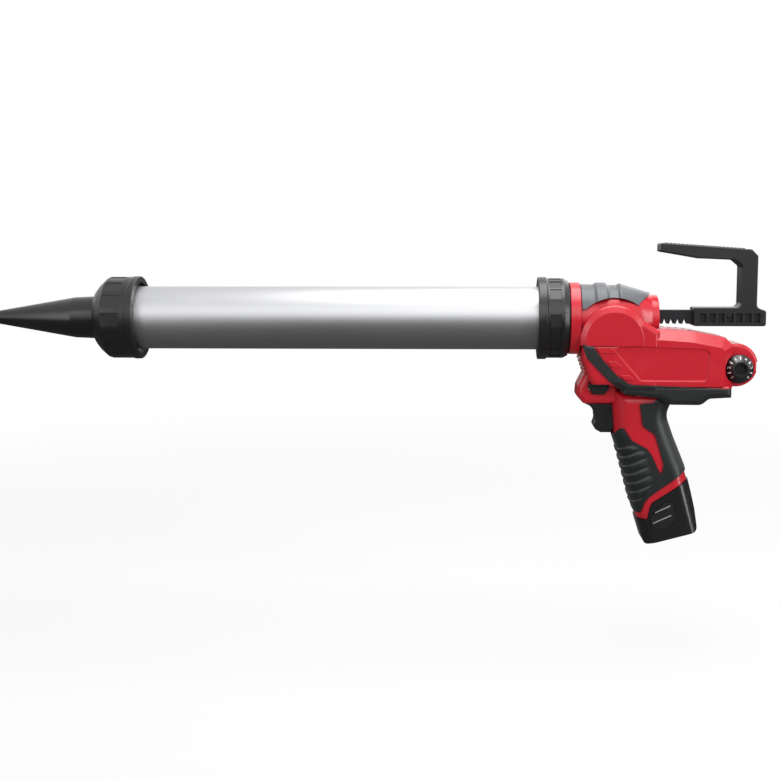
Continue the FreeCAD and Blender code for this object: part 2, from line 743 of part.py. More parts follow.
def spur_gear(name, module, teeth, turn, at, start, face, bore):
    """An involute gear on a shaft along Y; turn is where a tooth stands, in degrees from +X towards -Z."""
    path = fcgear.FCWireBuilder()
    involute.CreateExternalGear(path, value(module), int(value(teeth)), 20, False, 1.0, 1.25, 0.375, -0.2)
    wire = Part.Wire([edge.toShape() for edge in path.wire])
    outline = doc.addObject("Part::Feature", f"{name}_outline")
    outline.Shape = wire
    stand = FreeCAD.Rotation(FreeCAD.Vector(1, 0, 0), -90)
    spin = FreeCAD.Rotation(FreeCAD.Vector(0, 0, 1), turn)
    outline.Placement = FreeCAD.Placement(FreeCAD.Vector(), stand.multiply(spin))
    place(outline, (at[0], start, at[1]))
    blank = doc.addObject("Part::Extrusion", f"{name}_blank")
    blank.Base = outline
    blank.DirMode = "Custom"
    blank.Dir = FreeCAD.Vector(0, 1, 0)
    blank.Solid = True
    bind(blank, {"LengthFwd": face})
    hole = stick(f"{name}_bore", "Y", (at[0], f"{start} - 1", at[1]), f"{bore} + fit / 2", f"{face} + 2")
    return cut(name, blank, hole)


def bevel_gear(name, teeth, other, back, bore, towards):
    """A straight bevel gear, apex at the crossing of the two axes; towards turns its axis from +Z."""
    module = value("bevel_module")
    count = int(value(teeth))
    cone = math.atan2(count, value(other))
    distance = module * math.hypot(count, value(other)) / 2
    shrink = 1 - 6.0 / distance
    outward = FreeCAD.Vector(math.cos(cone), 0, -math.sin(cone))
    along = FreeCAD.Vector(math.sin(cone), 0, math.cos(cone)) * distance
    tip = along + outward * (0.85 * module)
    root = along - outward * (1.2 * module)
    deep = along - outward * (1.5 * module)
    across = FreeCAD.Vector(0, 1, 0)
    thick = math.pi * module
    section = [tip + across * (0.10 * thick), deep + across * (0.27 * thick),
               deep - across * (0.27 * thick), tip - across * (0.10 * thick)]
    outer = Part.makePolygon(section + section[:1])
    inner = Part.makePolygon([point * shrink for point in section + section[:1]])
    tooth = Part.makeLoft([outer, inner], True, True)
    teeth_made = []
    for i in range(count):
        copy = tooth.copy()
        copy.rotate(FreeCAD.Vector(), FreeCAD.Vector(0, 0, 1), 360 * i / count)
        teeth_made.append(copy)
    hole = value(bore) + value("fit") / 2
    rim = [FreeCAD.Vector(hole, 0, root.z * shrink), root * shrink, root,
           FreeCAD.Vector(root.x, 0, value(back)), FreeCAD.Vector(hole, 0, value(back))]
    half_section = Part.Face(Part.makePolygon(rim + rim[:1]))
    blank = half_section.revolve(FreeCAD.Vector(), FreeCAD.Vector(0, 0, 1), 360)
    gear = doc.addObject("Part::Feature", name)
    gear.Shape = blank.fuse(teeth_made).removeSplitter()
    place(gear, ("lay_x", "0", "motor_height"), towards)
    return gear


def shaft_bushes(name, at, radius):
    """One bush at each side wall, in its own seat of the housing."""
    made = []
    for side, start in (("left", "-left_wall - bush_length"), ("right", "gear_wall")):
        body = stick(f"{name}_{side}_body", "Y", (at[0], start, at[1]), f"{radius} + bush_wall",
                     "bush_length")
        hole = stick(f"{name}_{side}_hole", "Y", (at[0], f"{start} - 1", at[1]), f"{radius} + fit / 2",
                     "bush_length + 2")
        made.append(cut(f"{name}_{side}", body, hole))
    return group(name, made)


def build_gears():
    drop = value("cross_height - motor_height")
    mesh = math.degrees(math.atan2(drop, value("lay_x + cross_x")))
    start = "-left_wall - bush_length + 0.5"
    length = "left_wall + gear_wall + 2 * bush_length - 1"
    shafts = (("cross_shaft", CROSS_AT, "cross_radius"), ("lay_shaft", LAY_AT, "lay_radius"))
    for label, at, radius in shafts:
        piece(stick(label, "Y", (at[0], start, at[1]), radius, length), label)
    piece(spur_gear("rack_pinion", "rack_module", "pinion_teeth", -90, CROSS_AT, "-rack_width / 2",
                    "rack_width", "cross_radius"), "rack_pinion")
    piece(spur_gear("main_gear", "drive_module", "main_teeth", mesh, CROSS_AT, "main_low", "main_face",
                    "cross_radius"), "main_gear")
    piece(spur_gear("lay_pinion", "drive_module", "lay_teeth", mesh + 180 + 180 / value("lay_teeth"), LAY_AT,
                    "lay_low", "lay_face", "lay_radius"), "lay_pinion")
    # the bevel gear faces +Y with a gap towards the motor, its pinion faces +X with a tooth towards +Y
    half_pitch = 180 / value("bevel_gear_teeth")
    to_side = FreeCAD.Rotation(FreeCAD.Vector(1, 0, 0), -90).multiply(
        FreeCAD.Rotation(FreeCAD.Vector(0, 0, 1), half_pitch))
    to_rear = FreeCAD.Rotation(FreeCAD.Vector(0, 1, 0), 90).multiply(
        FreeCAD.Rotation(FreeCAD.Vector(0, 0, 1), 90))
    piece(bevel_gear("bevel_gear", "bevel_gear_teeth", "bevel_pinion_teeth", "bevel_back", "lay_radius",
                     to_side), "bevel_gear")
    piece(bevel_gear("bevel_pinion", "bevel_pinion_teeth", "bevel_gear_teeth", "reducer_gap - 0.5",
                     "reducer_shaft_radius", to_rear), "bevel_pinion")
    piece(shaft_bushes("cross_shaft_bushes", CROSS_AT, "cross_radius"), "cross_shaft_bushes")
    piece(shaft_bushes("lay_shaft_bushes", LAY_AT, "lay_radius"), "lay_shaft_bushes")


MOTOR_AT = ("0", "0", "motor_height")


def build_motor():
    half = "reducer_back - 6"
    piece(turned("reducer_case_body", [
        ("reducer_front", "reducer_shaft_radius + fit"), ("reducer_front", "reducer_radius", "1"),
        ("reducer_back", "reducer_radius"), ("reducer_back", "motor_shaft_radius + slip"),
        (half, "motor_shaft_radius + slip"), (half, "reducer_shaft_radius + fit")],
        at=MOTOR_AT), "reducer_case")
    piece(turned("reducer_shaft_body", [
        ("lay_x + 13.2", "0"), ("lay_x + 13.2", "reducer_shaft_radius"),
        (f"{half} - slip", "reducer_shaft_radius"), (f"{half} - slip", "0")], at=MOTOR_AT), "reducer_shaft")
    wall = "reducer_back + motor_wall"
    piece(turned("motor_can_body", [
        ("reducer_back", "motor_shaft_radius + fit"), ("reducer_back", "motor_radius"),
        ("motor_back", "motor_radius"),
        ("motor_back", "motor_radius - motor_wall"), (wall, "motor_radius - motor_wall"),
        (wall, "motor_shaft_radius + fit")], at=MOTOR_AT), "motor_can")
    cap_back = "motor_back + motor_cap"
    piece(turned("motor_end_cap_body", [
        ("motor_back", "motor_shaft_radius + fit"), ("motor_back", "motor_radius"),
        (cap_back, "motor_radius", "1"),
        (cap_back, "motor_shaft_radius + fit")], at=MOTOR_AT), "motor_end_cap")
    core = f"{wall} + 5"
    core_back = f"{core} + armature_length"
    piece(turned("motor_rotor_body", [
        (f"{half} + 1", "0"), (f"{half} + 1", "motor_shaft_radius"), (core, "motor_shaft_radius"),
        (core, "armature_radius"), (core_back, "armature_radius"), (core_back, "5"),
        (f"{core_back} + 5", "5"),
        (f"{core_back} + 5", "motor_shaft_radius"), (f"{cap_back} - 0.5", "motor_shaft_radius"),
        (f"{cap_back} - 0.5", "0")], at=MOTOR_AT), "motor_rotor")


def trigger_outline():
    return [("-56.8", "46.1"), ("-52.3", "43.8", "4"), ("-48.6", "39", "6"), ("-48", "32.5", "5"),
            ("-49.8", "27.5", "2.4"), ("-47.5", "23.5", "3"), ("-43", "21", "3"), ("-35", "21"),
            ("-trigger_back", "24"), ("-trigger_back", "46.1")]


def build_trigger():
    blade = prism("trigger_blade", trigger_outline(), "trigger_half", "1.2")
    stem = stick("trigger_stem", "X", ("-trigger_back - 1", "0", "stem_height"), "stem_radius",
                 "stem_length + 1")
    piece(fuse("trigger", [blade, stem]), "trigger")
    box = block("switch_block", ("-switch_front", "-switch_half", "switch_low"),
                ("-switch_front + switch_length", "switch_half", "switch_high"))
    hole = stick("switch_hole", "X", ("-switch_front - 1", "0", "stem_height"), "stem_radius + slip",
                 "stem_length - trigger_back + switch_front + trigger_travel + 2")
    piece(cut("trigger_switch", box, hole), "trigger_switch")
    helix_body = new_body("trigger_spring_body")
    ring = new_sketch(helix_body, "XZ_Plane", "spring_wire_section")
    circle = ring.addGeometry(Part.Circle(FreeCAD.Vector(1, 4, 0), FreeCAD.Vector(0, 0, 1), 0.4), False)
    spots = (("DistanceX", "-trigger_back + spring_wire / 2 + fit"), ("DistanceY", "spring_radius"))
    for kind, text in spots:
        held = ring.addConstraint(Sketcher.Constraint(kind, -1, 1, circle, 3, value(text)))
        bind(ring, {f"Constraints[{held}]": text})
    held = ring.addConstraint(Sketcher.Constraint("Radius", circle, 0.4))
    bind(ring, {f"Constraints[{held}]": "spring_wire / 2"})
    coil = helix_body.newObject("PartDesign::AdditiveHelix", "spring_coil")
    coil.Profile = ring
    coil.ReferenceAxis = (ring, ["H_Axis"])
    coil.Mode = "height-turns-angle"
    bind(coil, {"Height": "trigger_back - switch_front - spring_wire - 2 * fit", "Turns": "spring_turns"})
    place(helix_body, ("0", "0", "stem_height"))
    piece(helix_body, "trigger_spring")


def lock_outline():
    front = "-lock_middle - lock_width / 2"
    back = "-lock_middle + lock_width / 2"
    return [(front, "lock_high", "0.8"), (front, "lock_high - 4", "1"),
            ("-lock_middle - lock_foot / 2", "lock_low", "1"),
            ("-lock_middle + lock_foot / 2", "lock_low", "1"),
            (back, "lock_high - 4", "1"), (back, "lock_high", "0.8")]


def build_lock():
    button = prism("lock_button_body", lock_outline(), "lock_half + lock_proud / 2", "0.8")
    place(button, ("0", "-lock_proud / 2", "0"))
    piece(button, "lock_button")


DIAL_AT = ("dial_x", "0", "dial_level")
DIAL_BASE = "-dial_end_half - slip"
STEM_END = "-pot_depth + 4"


def build_dial():
    piece(turned("speed_dial_body", [
        (STEM_END, "0"), (STEM_END, "dial_stem"), (DIAL_BASE, "dial_stem"), (DIAL_BASE, "dial_radius"),
        (f"{DIAL_BASE} - 2.2", "dial_radius", "0.5"), (f"{DIAL_BASE} - dial_height", "dial_face", "0.5"),
        (f"{DIAL_BASE} - dial_height", "dial_dish"), (f"{DIAL_BASE} - dial_height + 3.5", "dial_dish - 0.8"),
        (f"{DIAL_BASE} - dial_height + 3.5", "0")], "Y", DIAL_AT), "speed_dial")
    pot_back = "-pot_depth + pot_length"
    piece(turned("speed_potentiometer_body", [
        ("-pot_depth", "dial_stem + fit"), ("-pot_depth", "pot_radius"), (pot_back, "pot_radius"),
        (pot_back, "0"), (f"{STEM_END} + fit", "0"), (f"{STEM_END} + fit", "dial_stem + fit")],
        "Y", DIAL_AT), "speed_potentiometer")
    piece(block("control_board", board_low("0"), board_high("0")), "control_board")


def board_low(play):
    return (f"dial_x - pot_radius + 0.2 - {play}", f"-pot_depth + pot_length - {play}",
            f"dial_level - 11 - {play}")


def board_high(play):
    return (f"dial_x + 9 + {play}", f"-pot_depth + pot_length + board_thickness + {play}",
            f"dial_level + 11 + {play}")


# The housing is drawn as simple volumes, each with its own side view and width, then joined.
BOSS_AT = ("-cross_x", "0", "boss_height")
STEP_LINE = [("-42", "-43.3"), ("-16.8", "-49.8"), ("-12.4", "-40.6"), ("-9.6", "-36.7"), ("42", "-19.8")]


def grip_outline():
    """Side view of the hand grip in its leaning frame, from the low front corner round."""
    return [("-grip_front", "-58"), ("-grip_front", "8", "30"), ("-grip_front - 1.4", "25.5", "18"),
            ("-18.3", "motor_height - 13"), ("36", "motor_height - 26"), ("grip_back - 5", "33", "16"),
            ("grip_back - 3.6", "14", "40"), ("grip_back", "-14", "40"), ("grip_back", "-58")]


def gear_outline():
    back = "housing_back + 0.5"
    low = "motor_height - 17"
    return [("-61.5", "motor_height + 20"), ("-61.5", "motor_height + 6", "6"),
            ("-56.3", "motor_height - 9.5", "6"), ("-52", low, "6"), ("-31", low, "6"),
            ("-24.5", f"{low} - 5", "6"), (back, f"{low} - 5"), (back, "axis_height - 9"),
            ("-11", "axis_height"), ("-22", "axis_height - 5"),
            ("-34.5", "motor_height + 20")]


def motor_outline():
    return [("-15", "motor_height + 31.4"), ("6", "motor_height + 31.4"),
            ("32", "motor_height + 29.4", "60"), ("59", "motor_height + 24.3"),
            ("66", "motor_height + 17.5"), ("66", "motor_height - 18"),
            ("61", "motor_height - 25.4"), ("-15", "motor_height - 26.5")]


def band_outline():
    top = "motor_height - 16"
    return [("-26.5", top), ("-26.5", "motor_height - 23.3"), ("5", "motor_height - 26.6"),
            ("13", "motor_height - 31.2", "8"), ("39", "motor_height - 31.4", "8"),
            ("45", "motor_height - 26", "8"), ("63", "motor_height - 25"), ("63", top)]


def rubber_bases(tag, grow):
    """The volumes that carry rubber, at housing size or grown by the rubber's thickness."""
    gear = prism(f"gear_volume{tag}", gear_outline(), "gear_half", "5", grow)
    motor = prism(f"motor_volume{tag}", motor_outline(), "motor_half", "motor_bevel", grow, bevel=True)
    band = prism(f"band_volume{tag}", band_outline(), "band_half", "3.5", grow)
    grip = prism(f"grip_volume{tag}", grip_outline(), "grip_half", "13", grow)
    tilt(grip)
    doc.recompute()
    return [gear, motor, band, grip]


def boss_volume():
    """Round boss on both sides, seen only over the side panel."""
    round_edge = "boss_radius - boss_flat"
    disc = turned("boss_disc", [
        ("-boss_half", "0"), ("-boss_half", "boss_flat"),
        (f"-boss_half + 0.6 * ({round_edge})", "boss_radius", "3"),
        (f"boss_half - 0.6 * ({round_edge})", "boss_radius", "3"),
        ("boss_half", "boss_flat"), ("boss_half", "0")],
        "Y", BOSS_AT)
    under = block("boss_under", ("-80", "-50", "boss_height - 60"), ("20", "50", "motor_height + 17.6"))
    return cut("boss_volume", disc, under)


def neck_volume():
    front = f"{COLLAR_BACK} + 1"
    return turned("neck_volume", [
        (front, "0"), (front, "neck_radius", "1"), ("-62.8", "neck_radius"), ("-61.8", "saddle_radius"),
        ("-28", "saddle_radius - 0.4", "40"), ("-12", "24.8", "25"), ("-2", "20.6"),
        ("housing_back + 1.2", "20.2", "0.6"), ("housing_back", "15"), ("housing_back", "0")])


def panel_recesses():
    """Cutters for the shallow panel in each side of the motor housing."""
    corners = [("-31.4", "motor_height + 16.8", "3"), ("-13.7", "motor_height + 17.2", "20"),
               ("41", "motor_height + 15.4", "4"), ("46", "motor_height + 12", "4"),
               ("43.2", "motor_height - 12.8", "4"), ("-12.5", "motor_height - 12.6", "3"),
               ("-33.4", "motor_height + 11", "3")]
    made = []
    for side, sign in (("left", "-"), ("right", "")):
        cutter = prism(f"panel_{side}", corners, "10", "1.6")
        place(cutter, ("0", f"{sign}(panel_half + 10)", "0"))
        made.append(cutter)
    return made


def side_bars():
    """Three slanted bars between the black stripe and the side panel."""
    spots = ((-50.6, 16.3, -36.6, 11.4), (-40.6, 4.6, -32.4, -0.6), (-29.4, -7, -21.4, -11.4))
    made = []
    for i, (front, top, back, low) in enumerate(spots):
        slope = 0.72 * (top - low)
        corners = [(front, f"motor_height + {top}"), (back, f"motor_height + {top}"),
                   (back + slope, f"motor_height + {low}"), (front + slope, f"motor_height + {low}")]
        made.append(prism(f"side_bar_{i}", corners, "bar_half", "0.5"))
    return made


def plain_volumes():
    dial_end = turned("dial_end_volume", [
        ("-dial_end_half", "0"), ("-dial_end_half", "dial_end_radius", "3"),
        ("dial_end_half", "dial_end_radius", "3"), ("dial_end_half", "0")],
        "Y", ("dial_x - 2.1", "0", "motor_height + 0.7"))
    knob = prism("knob_volume", [
        ("-57", "motor_height - 4"), ("-63.9", "62", "5"), ("-64.7", "53.5", "5"), ("-58.5", "46.5", "4"),
        ("-28", "46.5"), ("-28", "motor_height - 4")], "knob_half", "6")
    return [neck_volume(), boss_volume(), dial_end, knob] + side_bars()


def tower(name, play, top, bottom):
    """Upright column of the battery round the three cells; play widens it."""
    front = f"-9 - cell_radius - 0.2 - ({play})"
    back = f"-9 + 1.733 * (cell_radius + fit / 2) + cell_radius + 0.2 + {play}"
    half = f"2 * cell_radius + fit / 2 + 0.2 + {play}"
    return leaning_column(name, front, back, half, f"cell_radius + {play}", top, bottom)


def leaning_column(name, front, back, half, turn, top, bottom):
    """A rounded rectangle seen from above, drawn out along the grip's axis."""
    body = new_body(name)
    sketch = new_sketch(body, "XY_Plane", f"{name}_section")
    draw(sketch, [(front, f"-({half})", turn), (back, f"-({half})", turn),
                  (back, half, turn), (front, half, turn)])
    pad = body.newObject("PartDesign::Pad", f"{name}_pad")
    pad.Profile = sketch
    pad.SideType = "Two sides"
    bind(pad, {"Length": top, "Length2": bottom})
    tilt(body)
    doc.recompute()
    return body


def lean(target, at, rotation=None):
    """Place an object given in the grip's leaning frame."""
    base = FreeCAD.Rotation(FreeCAD.Vector(0, -1, 0), value("grip_tilt"))
    turned_by = base if rotation is None else base.multiply(rotation)
    target.Placement = FreeCAD.Placement(FreeCAD.Vector(), turned_by)
    bind(target, {"Placement.Base.x": f"({at[0]}) * cos(grip_tilt) - ({at[2]}) * sin(grip_tilt)",
                  "Placement.Base.y": at[1],
                  "Placement.Base.z": f"({at[0]}) * sin(grip_tilt) + ({at[2]}) * cos(grip_tilt)"})


def lean_block(name, low, high):
    box = block(name, low, high)
    lean(box, low)
    return box


CELL_TOP = "cell_base + cell_length"
TOWER_TOP = f"{CELL_TOP} + slip + pack_wall"
TERMINAL_LOW = f"{TOWER_TOP} + slip"
BLADES = ((-7, -6), (-7, 6), (5, 0))


def step_prism(name, grow=None):
    """All that lies under the stepped parting line between the grip and the battery."""
    cutter = prism(name, STEP_LINE + [("42", "-95"), ("-42", "-95")], "40", None, grow)
    tilt(cutter)
    return cutter


SCREW_SPOTS = ((-48, "axis_height + 20"), (-18, "axis_height + 18"), (-54, "motor_height - 10"),
               (48, "motor_height - 22.2"), (45, "motor_height + 23"), (-31, "motor_height - 23"),
               (31, "motor_height - 26"), ("dial_x + 6", "motor_height - 12"))


def screw_wells(tag):
    return [stick(f"screw_well_{tag}_{i}", "Y", (x, "body_screw_seat", z), "body_screw_head + slip", "40")
            for i, (x, z) in enumerate(SCREW_SPOTS)]


def vent_slots():
    made = []
    for i in range(5):
        start = 10 + 6 * i
        for side, low, high in (("left", "-21", "-13"), ("right", "13", "21")):
            made.append(block(f"vent_{side}_{i}", (start, low, f"motor_height + {27.2 - 0.32 * i}"),
                              (start + 3.2, high, "motor_height + 45")))
    return made


def drive_rooms():
    """Hollows for the nose sleeve, the rod, the gears and the motor."""
    sleeve_back = f"{SEAT} + sleeve_length"
    flange = f"{sleeve_back} - sleeve_flange_length"
    rear = "housing_back - 14"
    motor_end = "motor_back + motor_cap + slip"
    return {
        "sleeve": stick("sleeve_seat", "X", (f"{SEAT} - 5", "0", "axis_height"), "thread_radius + fit",
                        f"({flange}) - ({SEAT}) + 5 - fit"),
        "flange": stick("flange_seat", "X", (f"{flange} - fit", "0", "axis_height"), "sleeve_flange + fit",
                        "sleeve_flange_length + 2 * fit"),
        "rod": block("rod_passage", (f"{SEAT} - 5", "-rack_width / 2 - 1", f"{ROD_LOW} - 1"),
                     ("housing_back + 5", "rack_width / 2 + 1", f"{ROD_HIGH} + 1")),
        "guide": block("rear_guide_seat",
                       (f"{rear} - fit", "-rack_width / 2 - 6 - fit", f"{ROD_LOW} - 5 - fit"),
                       (f"{rear} + 11 + fit", "rack_width / 2 + 6 + fit", f"{ROD_HIGH} + 5 + fit")),
        "pad": block("pad_seat", ("-cross_x - 9 - fit", "-rack_width / 2 - 2 - fit", f"{ROD_HIGH} - 1"),
                     ("-cross_x + 9 + fit", "rack_width / 2 + 2 + fit", f"{ROD_HIGH} + slip + 5 + fit")),
        "pinion": stick("pinion_room", "Y", ("-cross_x", "-left_wall", "cross_height"),
                        "rack_module * (pinion_teeth / 2 + 1) + 1", "left_wall + gear_wall"),
        "main_gear": stick("main_gear_room", "Y", ("-cross_x", "main_low - 1", "cross_height"),
                           "drive_module * (main_teeth / 2 + 1) + 1", "gear_wall - main_low + 1"),
        "lay": stick("lay_room", "Y", ("lay_x", "-left_wall", "motor_height"),
                     "drive_module * (lay_teeth / 2 + 1) + 1.5", "left_wall + gear_wall"),
        "bevel": stick("bevel_room", "Y", ("lay_x", "3.6", "motor_height"),
                       "bevel_module * (bevel_gear_teeth / 2 + 1) + 0.8", "bevel_back - 3"),
        "bevel_pinion": stick("bevel_pinion_room", "X", ("lay_x + 6", "0", "motor_height"),
                              "bevel_module * (bevel_pinion_teeth / 2 + 1) + 1", "reducer_gap - 5.5"),
        "reducer": stick("reducer_seat", "X", ("reducer_front - fit", "0", "motor_height"),
                         "reducer_radius + fit", "reducer_length + 2 * fit"),
        "motor": stick("motor_seat", "X", ("reducer_back - 1", "0", "motor_height"), "motor_radius + fit",
                       f"{motor_end} - reducer_back + 1"),
    }


def hand_rooms():
    """Hollows for the trigger, the dial, the lock button and the battery."""
    return {
        "trigger": block("trigger_slot", ("-58", "-trigger_half - slip", "20"),
                         ("-trigger_back + trigger_travel + slip", "trigger_half + slip", "46.4")),
        "spring": stick("spring_room", "X", ("-trigger_back", "0", "stem_height"), "spring_radius + 1.5",
                        "trigger_back - switch_front + 1"),
        "switch": block("switch_seat", ("-switch_front - fit", "-switch_half - fit", "switch_low - fit"),
                        ("-switch_front + switch_length + fit", "switch_half + fit", "switch_high + fit")),
        "dial": stick("dial_recess", "Y", ("dial_x", "-dial_end_half - 20", "dial_level"),
                      "dial_radius + 1", "20"),
        "dial_stem": stick("dial_stem_hole", "Y", ("dial_x", "-dial_end_half - 2", "dial_level"),
                           "dial_stem + slip", "5"),
        "potentiometer": stick("potentiometer_seat", "Y", ("dial_x", "-pot_depth - fit", "dial_level"),
                               "pot_radius + fit", "pot_length + 2 * fit"),
        "board": block("board_seat", board_low("fit"), board_high("fit")),
        "notch": block("rear_notch", ("dial_x - 2.1 + dial_end_radius - 1.6", "-40", "motor_height - 4.5"),
                       ("dial_x + 30", "40", "motor_height + 3.6")),
        "tower": tower("tower_room", "pack_wall + pack_gap", f"{TOWER_TOP} + pack_gap", "80"),
        "terminal": lean_block("terminal_room", ("-11.1", "-10.1", f"{TERMINAL_LOW} - 2"),
                               ("9.1", "10.1", f"{TERMINAL_LOW} + terminal_height + fit")),
        "step": step_prism("under_step"),
        "lock": prism("lock_hole", lock_outline(), "40", None, "slip"),
    }


def bush_seats():
    made = []
    for tag, at, radius in (("cross", CROSS_AT, "cross_radius"), ("lay", LAY_AT, "lay_radius")):
        for side, start in (("left", "-left_wall - bush_length - fit"), ("right", "gear_wall - fit")):
            made.append(stick(f"{tag}_{side}_seat", "Y", (at[0], start, at[1]),
                              f"{radius} + bush_wall + fit / 2", "bush_length + 2 * fit"))
    return made


def screw_holes():
    made = []
    for i, well in enumerate(screw_wells("housing")):
        x, z = SCREW_SPOTS[i]
        hole = stick(f"screw_hole_{i}", "Y", (x, "body_screw_seat - body_screw_reach - 0.5", z),
                     "body_screw_radius + fit / 2", "body_screw_reach + 1")
        made.append(fuse(f"screw_room_{i}", [well, hole]))
    return made


def cavities():
    """All hollows of the housing, in sets whose members lie apart from each other."""
    drive = drive_rooms()
    hand = hand_rooms()
    upper = ("trigger", "terminal", "potentiometer", "lock", "notch", "step")
    sets = [
        [drive[key] for key in ("sleeve", "guide", "main_gear", "reducer")] + [hand[key] for key in upper]
        + vent_slots(),
        [drive[key] for key in ("flange", "pad", "bevel", "motor")]
        + [hand[key] for key in ("switch", "tower", "dial_stem")] + screw_holes(),
        [drive[key] for key in ("rod", "lay")] + [hand[key] for key in ("spring", "board", "dial")],
        [drive[key] for key in ("pinion", "bevel_pinion")] + panel_recesses(),
        bush_seats(),
    ]
    return [group(f"hollow_set_{i}", members) for i, members in enumerate(sets)]


def half_space(name, side):
    low, high = ("-90", "0") if side == "left" else ("0", "90")
    return block(name, ("-200", low, "-150"), ("200", high, "250"))


def top_pad_blank(shell):
    """Saddle pad over the gear housing: its lower edge bends round the side boss."""
    slab = block("top_pad_slab", ("-75", "-50", "axis_height + 9.2"), ("20", "50", "axis_height + 41"))
    arch = stick("top_pad_arch", "Y", ("-cross_x", "-60", "boss_height"), "boss_radius + 6", "120")
    rear = prism("top_pad_rear_cut", [("-13.8", "axis_height + 13.3"), ("12", "axis_height + 33.2"),
                                      ("12", "axis_height"), ("-13.8", "axis_height")], "60")
    saddle = common("top_pad_saddle", [cut("top_pad_over", top_pad_crown(), shell), slab])
    return cut("top_pad_blank", cut("top_pad_arched", saddle, arch), rear)


def top_pad_crown():
    return turned("top_pad_crown", [
        ("-62.6", "0"), ("-62.6", "29.3", "1.5"), ("-50.5", "29", "3"), ("-48.9", "30.7", "2"),
        ("-40.3", "30.7", "2"), ("-38.6", "28.6", "2"), ("-31", "28.6", "2"), ("-28.6", "30.2", "2"),
        ("-14.6", "26", "30"),
        ("-5", "23", "12"), ("0.5", "21.8", "0.8"), ("0.5", "0")])


def rubber_region():
    """Side view of the black rubber: stripe, lower band and grip, round the red tongue."""
    stripe = [("-61.8", "motor_height + 18.4"), ("-53.1", "motor_height + 17.3"),
              ("-43.2", "motor_height + 4.4"), ("-32.5", "motor_height - 7.4"),
              ("-21.2", "motor_height - 15.1", "8"), ("64", "motor_height - 18.6")]
    rear = [("64", "motor_height - 35"), ("45", "motor_height - 36"), ("70", "-20"), ("36", "-5.5")]
    foot = [("27.9", "-11.2"), ("-0.6", "-31.5", "3"), ("-6.2", "-37.5", "3"), ("-9.1", "-47.1", "1.5"),
            ("-40", "-47.3"), ("-60", "10")]
    tongue = [("-33", "18.9"), ("-28.4", "25.9", "1"), ("-24.9", "26.4", "1"), ("-17.8", "15.9", "3"),
              ("-4.7", "8.9", "5"), ("-0.3", "2.8", "4"), ("6.3", "-11.6", "1"), ("8.6", "-12.4", "1"),
              ("9.6", "-4.2", "3"), ("1.9", "21.2", "5"), ("-8.6", "28.2", "5"),
              ("-11.5", "motor_height - 32.3", "1.5"), ("-0.3", "motor_height - 31.7"),
              ("5.6", "motor_height - 26.9")]
    under = [("-25.8", "motor_height - 23.3"), ("-39.4", "motor_height - 11.6"),
             ("-57.9", "motor_height + 7.5")]
    return prism("rubber_region", stripe + rear + foot + tongue + under, "55")


def build_housing():
    bases = rubber_bases("", None)
    shell = join("housing_volume", bases + plain_volumes())
    body = carve("housing_hollow", shell, cavities())
    doc.recompute()
    crown = top_pad_blank(shell)
    grown = join("rubber_volume", rubber_bases("_grown", "skin"))
    blank = cut("rubber_over", common("rubber_cover", [grown, rubber_region()]), shell)
    lower = step_prism("rubber_under_step")
    slot = block("rubber_trigger_slot", ("-70", "-trigger_half - slip", "18"),
                 ("-20", "trigger_half + slip", "46.4"))
    rubber = cut("rubber_blank", blank, group("rubber_cuts", [lower, slot] + screw_wells("rubber")))
    pad = cut("top_pad_pierced", crown, group("top_pad_wells", screw_wells("pad")))
    doc.recompute()
    for side in ("left", "right"):
        for name, whole in (("housing", body), ("top_pad", pad), ("grip_rubber", rubber)):
            label = f"{name}_{side}"
            piece(common(label, [whole, half_space(f"{label}_space", side)]), label)
        doc.recompute()


def build_screws():
    made = []
    for i, (x, z) in enumerate(SCREW_SPOTS):
        shank = stick(f"body_screw_shank_{i}", "Y", (x, "body_screw_seat - body_screw_reach", z),
                      "body_screw_radius", "body_screw_reach")
        head = stick(f"body_screw_head_{i}", "Y", (x, "body_screw_seat", z), "body_screw_head",
                     "body_screw_cap")
        made.append(fuse(f"body_screw_{i}", [shank, head]))
    piece(group("housing_screws", made), "housing_screws")


